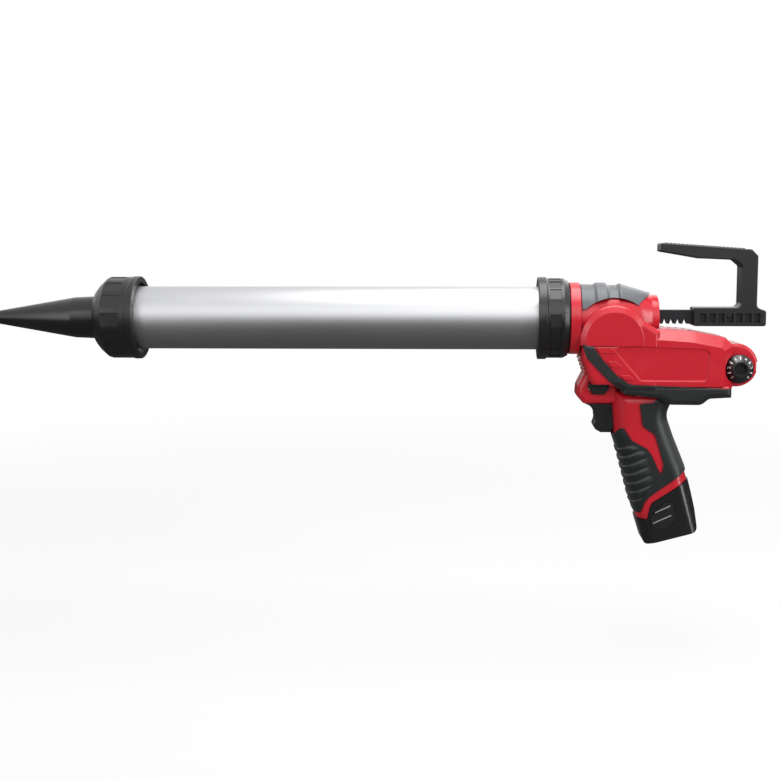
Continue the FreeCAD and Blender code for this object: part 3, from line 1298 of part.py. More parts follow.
def build_battery():
    side = prism("pack_side", [
        ("-pack_front - 1", "-15"), ("-pack_front", "-50"), ("-pack_front + 1.2", "-pack_bottom", "2.5"),
        ("pack_back - 3.8", "-pack_bottom", "5"), ("pack_back - 1", "-52", "30"),
        ("pack_back + 1", "-15")], "40")
    tilt(side)
    plan = leaning_column("pack_plan", "-pack_front", "pack_back", "pack_half", "pack_corner", "0", "90")
    base = common("pack_base", [plan, side])
    lower = common("pack_lower", [base, step_prism("pack_under_step", "(-pack_gap)")])
    column = tower("pack_tower", "pack_wall", TOWER_TOP, "60")
    room = tower("cell_room", "0", f"{TOWER_TOP} + 5", "-cell_base + slip")
    lid_seat = f"{CELL_TOP} + slip"
    latch_rooms = [latch_shape(f"latch_room_{side}", side, "slip", 30) for side in ("left", "right")]
    hollow = fuse("pack_hollow", [room, fuse("latch_rooms", latch_rooms)])
    piece(cut("battery_case", fuse("pack_solid", [lower, column]), hollow), "battery_case")
    lid = tower("battery_lid_body", "-fit", TOWER_TOP, f"-({lid_seat})")
    blades = []
    for i, (along, across) in enumerate(BLADES):
        low = (f"{along} - 3", f"{across} - 0.6", lid_seat)
        blades.append((low, (f"{along} + 3", f"{across} + 0.6", f"{TOWER_TOP} + contact_height")))
    slots = [lean_block(f"blade_slot_{i}", [f"{v} - fit / 2" for v in low], [f"{v} + fit / 2" for v in high])
             for i, (low, high) in enumerate(blades)]
    piece(cut("battery_lid", lid, fuse("blade_slots", slots)), "battery_lid")
    contacts = [lean_block(f"blade_{i}", low, high) for i, (low, high) in enumerate(blades)]
    piece(group("battery_contacts", contacts), "battery_contacts")
    cells = []
    for i, (along, across) in enumerate(cell_spots()):
        cell = stick(f"cell_{i}", "Z", ("0", "0", "0"), "cell_radius", "cell_length")
        lean(cell, (along, across, "cell_base"))
        cells.append(cell)
    piece(group("battery_cells", cells), "battery_cells")
    terminal = lean_block("terminal_block", ("-11", "-10", TERMINAL_LOW),
                          ("9", "10", f"{TERMINAL_LOW} + terminal_height"))
    reach = [lean_block(f"terminal_slot_{i}",
                        (f"{low[0]} - slip", f"{low[1]} - slip", f"{TERMINAL_LOW} - 1"),
                        (f"{high[0]} + slip", f"{high[1]} + slip", f"{high[2]} + slip"))
             for i, (low, high) in enumerate(blades)]
    piece(cut("handle_terminals", terminal, fuse("terminal_slots", reach)), "handle_terminals")
    for side in ("left", "right"):
        piece(latch_shape(f"battery_latch_{side}_body", side, "0", 0), f"battery_latch_{side}")


def cell_spots():
    pitch = "(cell_radius + fit / 2)"
    return (("-9", f"-{pitch}"), ("-9", pitch), (f"-9 + 1.733 * {pitch}", "0"))


def latch_shape(name, side, play, reach):
    """A press button in the side of the battery, under the stepped line."""
    outer = "latch_half" if reach == 0 else f"latch_half + {reach}"
    inner = f"latch_half - latch_thickness - {play}" if reach == 0 else "latch_half - latch_thickness - 1.9"
    body = new_body(name)
    sketch = new_sketch(body, "XZ_Plane", f"{name}_outline")
    draw(sketch, [("-13.5", "-48", "2"), ("-15", "-57", "3"), ("-4", "-62", "3"), ("7", "-56", "3"),
                  ("8.5", "-40", "2"), ("0", "-39", "2")], None if reach == 0 else play)
    pad = body.newObject("PartDesign::Pad", f"{name}_pad")
    pad.Profile = sketch
    bind(pad, {"Length": f"({outer}) - ({inner})"})
    tilt(body)
    doc.recompute()
    # a pad on this plane grows towards -Y
    bind(body, {"Placement.Base.y": f"-({inner})" if side == "left" else outer})
    return body


def check_and_write():
    doc.recompute()
    faults = [item.Name for item in doc.Objects if "Invalid" in item.State or "Error" in item.State]
    for item in PIECES:
        if item.Shape.isNull() or not item.Shape.isValid() or not item.Shape.Solids:
            faults.append(item.Label)
    if faults:
        raise RuntimeError("faulty: " + ", ".join(faults))
    os.makedirs("parts", exist_ok=True)
    for item in PIECES:
        item.Shape.exportStep(f"parts/{item.Label}.step")
        print(item.Label, len(item.Shape.Solids), round(item.Shape.Volume))


build_barrel()
build_nozzle()
build_cap()
build_collar()
build_nose()
build_rod()
build_pull_handle()
build_piston()
build_rod_guides()
build_gears()
build_motor()
build_trigger()
build_lock()
build_dial()
build_housing()
build_screws()
build_battery()
check_and_write()
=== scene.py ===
import math

import bmesh
import bpy
from bpy.props import FloatProperty, FloatVectorProperty, IntProperty, PointerProperty
from mathutils import Matrix, Vector


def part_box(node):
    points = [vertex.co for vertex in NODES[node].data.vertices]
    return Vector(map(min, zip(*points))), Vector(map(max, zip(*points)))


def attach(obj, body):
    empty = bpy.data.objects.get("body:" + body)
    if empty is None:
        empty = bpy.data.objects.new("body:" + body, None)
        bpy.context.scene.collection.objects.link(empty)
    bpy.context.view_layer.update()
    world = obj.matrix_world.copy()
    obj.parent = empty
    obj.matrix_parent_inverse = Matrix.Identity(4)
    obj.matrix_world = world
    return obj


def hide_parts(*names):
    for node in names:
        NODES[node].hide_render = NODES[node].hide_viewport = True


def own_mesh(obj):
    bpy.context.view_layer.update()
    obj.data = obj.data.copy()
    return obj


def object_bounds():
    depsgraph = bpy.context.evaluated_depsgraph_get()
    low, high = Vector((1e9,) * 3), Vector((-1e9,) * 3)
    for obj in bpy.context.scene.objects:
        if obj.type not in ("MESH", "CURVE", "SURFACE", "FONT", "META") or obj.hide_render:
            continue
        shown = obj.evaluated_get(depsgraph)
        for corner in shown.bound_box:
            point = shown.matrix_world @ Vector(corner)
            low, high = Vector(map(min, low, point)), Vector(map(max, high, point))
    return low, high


bl_info = {
    "name": "Caulking tool looks",
    "version": (1, 0, 0),
    "blender": (4, 5, 0),
    "location": "View3D > Sidebar > Caulking tool",
    "description": "Finishes, small trim and stage for the cordless caulking tool",
    "category": "Object",
}

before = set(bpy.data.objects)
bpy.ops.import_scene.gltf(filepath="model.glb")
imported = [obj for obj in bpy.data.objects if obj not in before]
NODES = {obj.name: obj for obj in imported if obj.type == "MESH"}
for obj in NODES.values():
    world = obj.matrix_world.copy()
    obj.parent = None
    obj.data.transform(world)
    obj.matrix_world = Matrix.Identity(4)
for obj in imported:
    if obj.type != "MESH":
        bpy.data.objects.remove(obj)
CAD_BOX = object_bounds()

# Sizes and places of pieces are written in millimetres in the CAD frame, and made metres at the end.
MM = 0.001
TO_METRES = Matrix.Scale(MM, 4)
GRIP_TILT = math.radians(15.0)
GRIP_TO_FRAME = Matrix.Rotation(-GRIP_TILT, 4, "Y")
ACROSS = Vector((0.0, 1.0, 0.0))

# Finishes and stage are in metres, as Blender has them.
EVEN = (1.0, 1.0, 1.0)
WHITE = (1.0, 1.0, 1.0, 1.0)
# How far, and with how many samples, the painted shade in seams and corners looks for nearby surfaces.
CREASE_SHADE_REACH = 0.004
CREASE_SHADE_SAMPLES = 6
BATTERY_WAY_OUT = 0.09
FLOOR_LEVEL = CAD_BOX[0].z - BATTERY_WAY_OUT


class Wire:
    """A socket in a node tree; sums and products of it add Math nodes."""

    def __init__(self, web, socket):
        self.web = web
        self.socket = socket

    def math(self, operation, first, second=0.0):
        return self.web.add("ShaderNodeMath", {"operation": operation}, {0: first, 1: second})

    def __add__(self, other):
        return self.math("ADD", self, other)

    def __radd__(self, other):
        return self.math("ADD", other, self)

    def __sub__(self, other):
        return self.math("SUBTRACT", self, other)

    def __rsub__(self, other):
        return self.math("SUBTRACT", other, self)

    def __mul__(self, other):
        return self.math("MULTIPLY", self, other)

    def __rmul__(self, other):
        return self.math("MULTIPLY", other, self)

    def larger(self, other):
        return self.math("MAXIMUM", self, other)

    def over(self, limit, width):
        """0 below limit, 1 above it, over a soft width."""
        return self.web.add("ShaderNodeMapRange", {"interpolation_type": "SMOOTHSTEP"},
                            {"Value": self, "From Min": limit - width, "From Max": limit + width})


class Web:
    """A node tree that nodes are added to."""

    def __init__(self, tree):
        self.tree = tree

    def add(self, kind, settings=None, inputs=None, out=0):
        node = self.tree.nodes.new(kind)
        for key, value in (settings or {}).items():
            setattr(node, key, value)
        for key, value in (inputs or {}).items():
            self.feed(node.inputs[key], value)
        return Wire(self, node.outputs[out])

    def feed(self, socket, value):
        if isinstance(value, Wire):
            self.tree.links.new(value.socket, socket)
        else:
            socket.default_value = value

    def ray(self, kind):
        """1 for rays of a kind, such as Camera or Diffuse."""
        return self.add("ShaderNodeLightPath", out=f"Is {kind} Ray")

    def seen_directly(self):
        """1 for rays from the camera, in a gloss or through glass, 0 for light that falls on things."""
        return self.ray("Camera").larger(self.ray("Glossy")).larger(self.ray("Transmission"))


class Finish(Web):
    """A material in the making, with its node tree and its main shader."""

    def __init__(self, name, **constants):
        self.material = bpy.data.materials.new(name)
        self.material.use_nodes = True
        super().__init__(self.material.node_tree)
        self.shader = self.tree.nodes["Principled BSDF"]
        for socket, value in constants.items():
            self.set(socket.replace("_", " ").title(), value)

    def set(self, socket, value):
        self.feed(self.shader.inputs[socket.replace("Ior", "IOR")], value)

    def place(self, stretch):
        """Object coordinates in metres, stretched."""
        spot = self.add("ShaderNodeTexCoord", out="Object")
        return self.add("ShaderNodeMapping", inputs={"Vector": spot, "Scale": stretch})

    def noise(self, scale, detail=2.0, stretch=EVEN, roughness=0.5):
        return self.add("ShaderNodeTexNoise", inputs={
            "Vector": self.place(stretch), "Scale": scale, "Detail": detail, "Roughness": roughness})

    def cells(self, scale, stretch=EVEN):
        return self.add("ShaderNodeTexVoronoi", {"feature": "F1"},
                        {"Vector": self.place(stretch), "Scale": scale})

    def blend(self, amount, first, second):
        """Mix of two colours by a wire."""
        return self.add("ShaderNodeMix", {"data_type": "RGBA"},
                        {"Factor": amount, "A": first, "B": second}, out="Result")

    def creased(self, unshaded, dark):
        """Painted shade: the unshaded colour in the open, and a darker one painted into seams and corners
        where ambient occlusion finds them.
        """
        open_air = self.add("ShaderNodeAmbientOcclusion", {"samples": CREASE_SHADE_SAMPLES},
                            {"Distance": CREASE_SHADE_REACH}, out="AO")
        return self.blend(open_air.over(0.55, 0.3), dark, unshaded)

    def bump(self, height, strength, distance):
        self.set("Normal", self.add("ShaderNodeBump", inputs={
            "Height": height, "Strength": strength, "Distance": distance}))


def shade(colour, factor):
    return tuple(min(1.0, part * factor) for part in colour[:3]) + (1.0,)


def moulded_plastic(name, colour, roughness, grain=0.06, coat=0.0, gloss=0.5, rub=0.1):
    """Moulded plastic: faint flow marks, a fine spark-eroded grain, a few dull rub marks, and painted shade
    darkening its seams and corners.
    """
    finish = Finish(name, specular_ior_level=gloss, coat_roughness=0.16)
    flow = finish.noise(9.0, 3.0, (1.0, 2.0, 2.5))
    unshaded = finish.blend(flow, shade(colour, 0.93), shade(colour, 1.07))
    # Painted shade: the base colour turns darker in seams and corners.
    finish.set("Base Color", finish.creased(unshaded, shade(colour, 0.3)))
    rubs = finish.noise(46.0, 5.0, (1.0, 3.0, 1.0), 0.65).over(0.62, 0.07)
    finish.set("Roughness", roughness + 0.9 * rub * (finish.noise(130.0, 4.0) - 0.5) + rub * rubs)
    if coat > 0.0:
        finish.set("Coat Weight", coat * (1 - 0.6 * rubs))
    finish.bump(finish.noise(2600.0, 2.0), grain, 0.0004)
    return finish.material


def soft_rubber(name, colour, roughness):
    """Overmoulded rubber: stippled skin, dull, slightly polished in patches by the hand, with painted shade
    darkening its seams and corners.
    """
    finish = Finish(name, specular_ior_level=0.45, sheen_weight=0.08, sheen_roughness=0.5)
    patch = finish.noise(28.0, 4.0, EVEN, 0.6)
    dust = finish.noise(420.0, 3.0)
    unshaded = finish.blend(dust, shade(colour, 0.86), shade(colour, 1.16))
    # Painted shade: the base colour turns darker in seams and corners.
    finish.set("Base Color", finish.creased(unshaded, shade(colour, 0.25)))
    finish.set("Roughness", roughness + 0.2 * (patch - 0.5) + 0.08 * (dust - 0.5))
    finish.bump(finish.cells(1900.0) * 0.7 + finish.noise(3200.0, 2.0) * 0.3, 0.25, 0.0003)
    return finish.material


def drawn_metal(name, colour, roughness):
    """Metal with fine drawing lines along X and cloudy dull areas."""
    finish = Finish(name, metallic=1.0)
    lines = finish.noise(90.0, 5.0, (1.0, 60.0, 60.0), 0.7)
    cloud = finish.noise(14.0, 3.0)
    finish.set("Base Color", finish.blend(lines, shade(colour, 0.9), shade(colour, 1.08)))
    finish.set("Roughness", roughness + 0.14 * (lines - 0.5) + 0.1 * (cloud - 0.5))
    finish.bump(lines, 0.12, 0.0002)
    return finish.material


def turned_metal(name, colour, roughness):
    """Machined metal with fine even tool marks and a little tarnish."""
    finish = Finish(name, metallic=1.0)
    marks = finish.noise(700.0, 3.0, EVEN, 0.6)
    stain = finish.noise(60.0, 5.0, EVEN, 0.7).over(0.58, 0.1)
    finish.set("Base Color", finish.blend(stain, shade(colour, 1.0), shade(colour, 0.72)))
    finish.set("Roughness", roughness + 0.12 * (marks - 0.5) + 0.14 * stain)
    finish.bump(marks, 0.08, 0.0002)
    return finish.material


def printed_board(name, colour):
    """Circuit laminate: solder mask over faint copper tracks."""
    finish = Finish(name, specular_ior_level=0.5)
    tracks = finish.cells(420.0, (1.0, 1.0, 0.35)).over(0.45, 0.05)
    finish.set("Base Color", finish.blend(tracks, shade(colour, 0.8), shade(colour, 1.7)))
    finish.set("Roughness", 0.32 + 0.1 * finish.noise(300.0, 2.0))
    return finish.material


def white_print(name, colour):
    """White ink printed on plastic, slightly worn."""
    finish = Finish(name, specular_ior_level=0.4)
    worn = finish.noise(1500.0, 4.0)
    finish.set("Base Color", finish.blend(worn.over(0.7, 0.08), shade(colour, 1.0), shade(colour, 0.6)))
    finish.set("Roughness", 0.5 + 0.15 * (worn - 0.5))
    return finish.material


def dress(material, *nodes):
    """Give CAD nodes a finish."""
    for name in nodes:
        slots = NODES[name].data.materials
        slots.clear()
        slots.append(material)


def laid_out(name, mesh, material):
    """Turn a bmesh into an object at the origin."""
    data = bpy.data.meshes.new(name)
    mesh.to_mesh(data)
    mesh.free()
    data.materials.append(material)
    thing = bpy.data.objects.new(name, data)
    bpy.context.scene.collection.objects.link(thing)
    return thing


def finished(name, mesh, material, body, smooth=True):
    """Turn a bmesh into a piece that rides on a body."""
    bmesh.ops.remove_doubles(mesh, verts=mesh.verts, dist=1e-6)
    bmesh.ops.recalc_face_normals(mesh, faces=mesh.faces)
    for face in mesh.faces:
        face.smooth = smooth
    piece = laid_out(name, mesh, material)
    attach(piece, body)
    return piece


def bar(mesh, length, width, height, place):
    """Add a bar along X with its upper edges and ends rounded, then set it in its place."""
    made = bmesh.ops.create_cube(mesh, size=1.0, matrix=Matrix.Diagonal((length, width, height, 1.0)))
    verts = made["verts"]
    edges = {edge for vert in verts for edge in vert.link_edges}
    upper = [edge for edge in edges if max(vert.co.z for vert in edge.verts) > 0.0]
    rounded = bmesh.ops.bevel(mesh, geom=upper, offset=0.42 * min(width, height), offset_type="OFFSET",
                              segments=3, profile=0.5, affect="EDGES", material=-1, clamp_overlap=True)
    verts = {vert for vert in verts if vert.is_valid} | set(rounded["verts"])
    bmesh.ops.transform(mesh, matrix=place, verts=list(verts))


def axes_at(origin, along, outward):
    """Matrix of a spot: X along, Z outward, Y across."""
    x = Vector(along).normalized()
    z = Vector(outward).normalized()
    turn = Matrix((x, z.cross(x), z)).transposed().to_4x4()
    return Matrix.Translation(origin) @ turn


def cross_ribs(mesh, first, last, count, length, width, height):
    """Add bars across the tool, evenly spaced on a line and standing on its outer side."""
    run = last - first
    for i in range(count):
        place = axes_at(first + run * (i + 0.5) / count, ACROSS, ACROSS.cross(run))
        bar(mesh, length, width, height, TO_METRES @ place)


def ramp(distance, width):
    """0 up to no distance, 1 from a width on."""
    return min(1.0, max(0.0, distance / width))


def colour_prop(name, description, default):
    return FloatVectorProperty(name=name, description=description, default=default, size=3, min=0.0, max=1.0,
                               subtype="COLOR")


def length_prop(name, description, millimetres):
    return FloatProperty(name=name, description=description, default=millimetres * MM, min=0.0, precision=5,
                         subtype="DISTANCE", unit="LENGTH")


def count_prop(name, description, default, least=1):
    return IntProperty(name=name, description=description, default=default, min=least)


class CAULK_PG_colours(bpy.types.PropertyGroup):
    """Colours of the finishes."""

    red: colour_prop("Housing red", "Moulded red of the two housing halves", (0.6, 0.0125, 0.0265))
    black: colour_prop("Black plastic", "Nuts, nozzle, hook and battery", (0.012, 0.0125, 0.013))
    rubber: colour_prop("Grip rubber", "Rubber of the hand grip and stripe", (0.015, 0.017, 0.0175))
    pad: colour_prop("Top pad", "Grey rubber of the pad over the gears", (0.105, 0.109, 0.12))
    tube: colour_prop("Tube", "Bare aluminium of the barrel", (0.54, 0.543, 0.555))
    steel: colour_prop("Steel", "Shafts, gears and screws", (0.52, 0.52, 0.54))
    dark_steel: colour_prop("Blackened steel", "Toothed rod", (0.045, 0.046, 0.05))
    bronze: colour_prop("Bronze", "Shaft bushes and battery contacts", (0.46, 0.27, 0.1))
    nylon: colour_prop("Nylon", "Rod guides", (0.7, 0.68, 0.6))
    board: colour_prop("Board", "Circuit board", (0.015, 0.09, 0.03))
    cell: colour_prop("Cell sleeve", "Shrink sleeve of the battery cells", (0.05, 0.14, 0.26))
    ink: colour_prop("Dial ink", "Figures on the speed dial", (0.85, 0.85, 0.83))
    # The latch ridges are real raised ridges; their light grey is a painted highlight.
    ridge: colour_prop("Latch ridge", "Light ridges on the battery's latches", (0.3, 0.3, 0.3))
    floor: colour_prop("Floor", "Studio floor", (0.86, 0.86, 0.86))
    card: colour_prop("Dark card", "Card that the glossy sides reflect", (0.1, 0.1, 0.1))


class CAULK_PG_sizes(bpy.types.PropertyGroup):
    """Sizes and numbers of the small trim."""

    ridge_pitch: length_prop("Ridge pitch", "Distance between finger ridges", 7.9)
    ridge_height: length_prop("Ridge height", "How far a finger ridge stands proud", 1.15)
    figures: count_prop("Dial figures", "Plain numbers round the speed dial", 6, least=2)
    figure_height: length_prop("Figure height", "Height of the dial figures", 3.2)
    rib_count: count_prop("Arm ribs", "Small ribs on the hook's arm", 20)
    rib_height: length_prop("Arm rib height", "How far an arm rib stands proud", 0.7)
    tooth_count: count_prop("Front teeth", "Short ribs under the housing's neck", 4)


class CAULK_OT_barrel(bpy.types.Operator):
    """Bare metal tube with its two rings, and the housing's nose sleeve, coloured dark as painted shade in
    the gap between collar and neck
    """

    bl_idname = "caulk.barrel"
    bl_label = "Barrel"

    def execute(self, context):
        hues = context.scene.caulk_colours
        dress(drawn_metal("drawn_tube", hues.tube, 0.44), "barrel_tube")
        dress(turned_metal("turned_ring", hues.tube, 0.28), "barrel_front_ring", "barrel_rear_ring")
        # Painted shade: the nose sleeve gets blackened steel so the gap between collar and neck shows dark.
        dress(turned_metal("sleeve_gap_shade_steel", hues.dark_steel, 0.45), "nose_sleeve")
        return {"FINISHED"}


class CAULK_OT_nuts(bpy.types.Operator):
    """Nozzle, front cap and rear collar of black moulded plastic, and the rubber seals"""

    bl_idname = "caulk.nuts"
    bl_label = "Nozzle and nuts"

    def execute(self, context):
        hues = context.scene.caulk_colours
        dress(moulded_plastic("nut_plastic", hues.black, 0.32, 0.06), "front_cap", "rear_collar")
        dress(moulded_plastic("nozzle_plastic", hues.black, 0.25, 0.02, rub=0.03), "nozzle")
        dress(soft_rubber("gasket_rubber", hues.rubber, 0.6), "nozzle_gasket", "piston_seal")
        return {"FINISHED"}


class CAULK_OT_housing(bpy.types.Operator):
    """Red housing halves with the short ribs under the neck, and the grey top pad"""

    bl_idname = "caulk.housing"
    bl_label = "Housing"

    front_top = Vector((-61.6, 0.0, 86.0))
    front_low = Vector((-57.2, 0.0, 72.6))

    def execute(self, context):
        hues = context.scene.caulk_colours
        red = moulded_plastic("housing_red", hues.red, 0.3, 0.04, 0.2, 0.42)
        dress(red, "housing_left", "housing_right")
        dress(soft_rubber("pad_rubber", hues.pad, 0.38), "top_pad_left", "top_pad_right")
        dress(turned_metal("screw_steel", hues.dark_steel, 0.4), "housing_screws")
        self.front_teeth(context.scene.caulk_sizes, red)
        return {"FINISHED"}

    def front_teeth(self, sizes, material):
        """Short cross ribs down the sloping front between the neck and the lock button."""
        mesh = bmesh.new()
        cross_ribs(mesh, self.front_top, self.front_low, sizes.tooth_count,
                   length=44.0, width=2.4, height=2.2)
        finished("front_teeth", mesh, material, "frame")


class CAULK_OT_grip(bpy.types.Operator):
    """Black rubber of the grip, band and stripe, with the finger ridges down its front"""

    bl_idname = "caulk.grip"
    bl_label = "Grip"

    # Plan of the grip, in its own upright frame.
    half_width = 23.0
    corner_radius = 14.2
    half_front = half_width - corner_radius
    front = -25.4
    lean_from = 10.0
    lean = 1.4 / 15.5
    rear = -1.0

    # The sheet that carries the ridges, and where the ridges fade out.
    sheet_columns = 72
    sheet_rows = 132
    sheet_middle = -9.5
    sheet_height = 58.0
    sheet_thickness = 0.4
    sunk = 0.3
    upper_end = 18.0
    lower_end = -37.0
    end_fade = 3.0
    rear_margin = 1.5
    rear_fade = 7.0

    # Shape of a ridge: how much it climbs towards the rear, how narrow its groove is, how full its crest is.
    ridge_climb = 0.16
    groove_power = 6
    crest_power = 0.8

    def execute(self, context):
        rubber = soft_rubber("grip_skin", context.scene.caulk_colours.rubber, 0.37)
        dress(rubber, "grip_rubber_left", "grip_rubber_right")
        self.finger_ridges(context.scene.caulk_sizes, rubber)
        return {"FINISHED"}

    def finger_ridges(self, sizes, material):
        """A sheet round the front of the grip that sinks into the rubber where there is no ridge."""
        mesh = bmesh.new()
        bmesh.ops.create_grid(mesh, x_segments=self.sheet_columns, y_segments=self.sheet_rows, size=0.5)
        for vert in mesh.verts:
            height = self.sheet_middle + vert.co.y * self.sheet_height
            vert.co = self.ridge_point(sizes, 2.0 * vert.co.x, height)
        bmesh.ops.recalc_face_normals(mesh, faces=mesh.faces)
        foremost = min(mesh.faces, key=lambda face: face.calc_center_median().x)
        if foremost.normal.x > 0.0:
            bmesh.ops.reverse_faces(mesh, faces=mesh.faces)
        bmesh.ops.solidify(mesh, geom=mesh.faces, thickness=self.sheet_thickness)
        bmesh.ops.transform(mesh, matrix=TO_METRES @ GRIP_TO_FRAME, verts=mesh.verts)
        finished("finger_ridges", mesh, material, "frame")

    def front_edge(self, height):
        """Front of the rubber at a height; the upper end leans forward to the trigger."""
        return self.front - self.lean * max(0.0, height - self.lean_from)

    def rear_edge(self, height):
        """How far back the sheet goes at a height, in front of the red tongue and above the red band."""
        tongue = 6.0 - height
        band = 21.0 + 1.05 * height
        return min(self.rear, tongue, band)

    def round_the_front(self, front, rear, share):
        """Point of the plan a share of the way from the front's middle to the rear, and its outward way."""
        flat, radius = self.half_front, self.corner_radius
        arc = radius * math.pi / 2
        beyond = rear - front - radius
        if beyond > 0.0:
            reach = flat + arc + beyond
        else:
            reach = flat + radius * math.acos(-beyond / radius)
        way = share * reach
        if way < flat:
            return (front, way), (-1.0, 0.0)
        if way < flat + arc:
            angle = (way - flat) / radius
            out = (-math.cos(angle), math.sin(angle))
            return (front + radius + radius * out[0], flat + radius * out[1]), out
        return (front + radius + way - flat - arc, self.half_width), (0.0, 1.0)

    def ridge_point(self, sizes, share, height):
        """Point of the sheet: a share of the way round, -1 left to 1 right, and a height up the grip."""
        front, rear = self.front_edge(height), self.rear_edge(height)
        (x, y), out = self.round_the_front(front, rear, abs(share))
        fade = ramp(rear - self.rear_margin - x, self.rear_fade)
        fade *= ramp(self.upper_end - height, self.end_fade) * ramp(height - self.lower_end, self.end_fade)
        level = height - self.ridge_climb * (x - front)
        groove = math.cos(math.pi * level * MM / sizes.ridge_pitch) ** self.groove_power
        crest = (1.0 - groove) ** self.crest_power
        lift = (sizes.ridge_height / MM + self.sunk) * fade * crest - self.sunk
        side = 1.0 if share > 0.0 else -1.0
        return Vector((x + out[0] * lift, side * (y + out[1] * lift), height))


class CAULK_OT_controls(bpy.types.Operator):
    """Trigger with its spring, lock button, and speed dial with its ticks and plain numbers"""

    bl_idname = "caulk.controls"
    bl_label = "Controls"

    # The dial is a cone; a tick's size is round it, up it and off it.
    dial_face_radius = 6.8
    dial_cone_width = 5.2
    dial_cone_depth = 5.8
    dial_sweep = math.radians(270.0)
    tick_radius = 9.6
    tick_size = (1.1, 3.4, 0.24)
    figure_radius = 9.4
    figure_relief = 0.12
    figure_share = 0.72

    spring_turns = 3
    spring_steps = 28 * spring_turns
    spring_wire = 0.8
    spring_seat = -22.5
    spring_pressed = 0.318

    def execute(self, context):
        hues = context.scene.caulk_colours
        sizes = context.scene.caulk_sizes
        black = moulded_plastic("control_black", hues.black, 0.3, 0.05, 0.3)
        dress(black, "trigger", "lock_button", "speed_dial")
        ink = white_print("dial_ink", hues.ink)
        self.dial_ticks(sizes, ink)
        self.dial_figures(sizes, ink)
        self.return_spring(turned_metal("spring_steel", hues.steel, 0.28))
        return {"FINISHED"}

    def dial_spot(self, angle, radius):
        """Place on the dial's cone: X round the dial, Y towards its face, Z off the surface."""
        low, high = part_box("speed_dial")
        axis = Vector((low.x + high.x, 0.0, low.z + high.z)) / 2
        away = Vector((math.sin(angle), 0.0, math.cos(angle)))
        slope = self.dial_cone_depth / self.dial_cone_width
        depth = low.y + (radius - self.dial_face_radius) * slope * MM
        outward = away * self.dial_cone_depth - ACROSS * self.dial_cone_width
        return axes_at(axis + away * radius * MM + ACROSS * depth, ACROSS.cross(away), outward)

    def dial_angles(self, sizes):
        step = self.dial_sweep / (sizes.figures - 1)
        return [step * i - self.dial_sweep / 2 for i in range(sizes.figures)]

    def dial_ticks(self, sizes, ink):
        mesh = bmesh.new()
        angles = self.dial_angles(sizes)
        for first, second in zip(angles, angles[1:]):
            place = self.dial_spot((first + second) / 2, self.tick_radius)
            bar(mesh, *self.tick_size, place @ TO_METRES)
        finished("dial_ticks", mesh, ink, "speed_dial")

    def dial_figures(self, sizes, ink):
        mesh = bmesh.new()
        for number, angle in enumerate(self.dial_angles(sizes), start=1):
            text = bpy.data.curves.new("dial_figure", "FONT")
            text.body = str(number)
            text.size = sizes.figure_height / MM / self.figure_share
            text.align_x = "CENTER"
            text.align_y = "CENTER"
            text.extrude = self.figure_relief
            text.resolution_u = 3
            holder = bpy.data.objects.new("dial_figure", text)
            shape = bpy.data.meshes.new_from_object(holder)
            shape.transform(self.dial_spot(angle, self.figure_radius) @ TO_METRES)
            mesh.from_mesh(shape)
            bpy.data.objects.remove(holder)
            bpy.data.curves.remove(text)
            bpy.data.meshes.remove(shape)
        finished("dial_figures", mesh, ink, "speed_dial", smooth=False)

    def return_spring(self, material):
        """Coil between the trigger and its switch."""
        wire = self.spring_wire
        low, high = (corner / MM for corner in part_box("trigger_spring"))
        middle = (low + high) / 2
        coil_radius = (high.y - low.y - wire) / 2
        advance = (high.x - low.x - wire) / self.spring_steps
        mesh = bmesh.new()
        start = Matrix.Translation((low.x + wire / 2, middle.y, middle.z + coil_radius))
        section = bmesh.ops.create_circle(mesh, cap_ends=False, radius=wire / 2, segments=10,
                                          matrix=start @ Matrix.Rotation(math.pi / 2, 4, "X"))
        ring = section["verts"] + list({edge for vert in section["verts"] for edge in vert.link_edges})
        bmesh.ops.spin(mesh, geom=ring, cent=middle, axis=(1.0, 0.0, 0.0), dvec=(advance, 0.0, 0.0),
                       angle=2.0 * math.pi * self.spring_turns, steps=self.spring_steps)
        bmesh.ops.holes_fill(mesh, edges=[edge for edge in mesh.edges if edge.is_boundary], sides=0)
        bmesh.ops.transform(mesh, matrix=TO_METRES, verts=mesh.verts)
        coil = finished("trigger_coil", mesh, material, "frame")
        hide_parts("trigger_spring")
        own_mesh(coil)


class CAULK_OT_rod(bpy.types.Operator):
    """Toothed rod with its piston and the hook handle"""

    bl_idname = "caulk.rod"
    bl_label = "Rod and hook"

    arm_root = Vector((77.0, 0.0, 178.3))
    arm_tip = Vector((9.0, 0.0, 183.1))

    def execute(self, context):
        hues = context.scene.caulk_colours
        dress(drawn_metal("rod_steel", hues.dark_steel, 0.42), "rack_rod")
        hook = moulded_plastic("hook_plastic", hues.black, 0.36, 0.08)
        dress(hook, "pull_handle", "piston")
        dress(turned_metal("pin_steel", hues.dark_steel, 0.5), "handle_pins")
        dress(turned_metal("bolt_steel", hues.steel, 0.3), "piston_washer", "piston_screw")
        self.arm_ribs(context.scene.caulk_sizes, hook)
        return {"FINISHED"}

    def arm_ribs(self, sizes, material):
        """Fine ribs across the top of the hook's arm, sunk in it by half."""
        mesh = bmesh.new()
        cross_ribs(mesh, self.arm_root, self.arm_tip, sizes.rib_count,
                   length=19.0, width=1.7, height=2.0 * sizes.rib_height / MM)
        finished("arm_ribs", mesh, material, "rod")


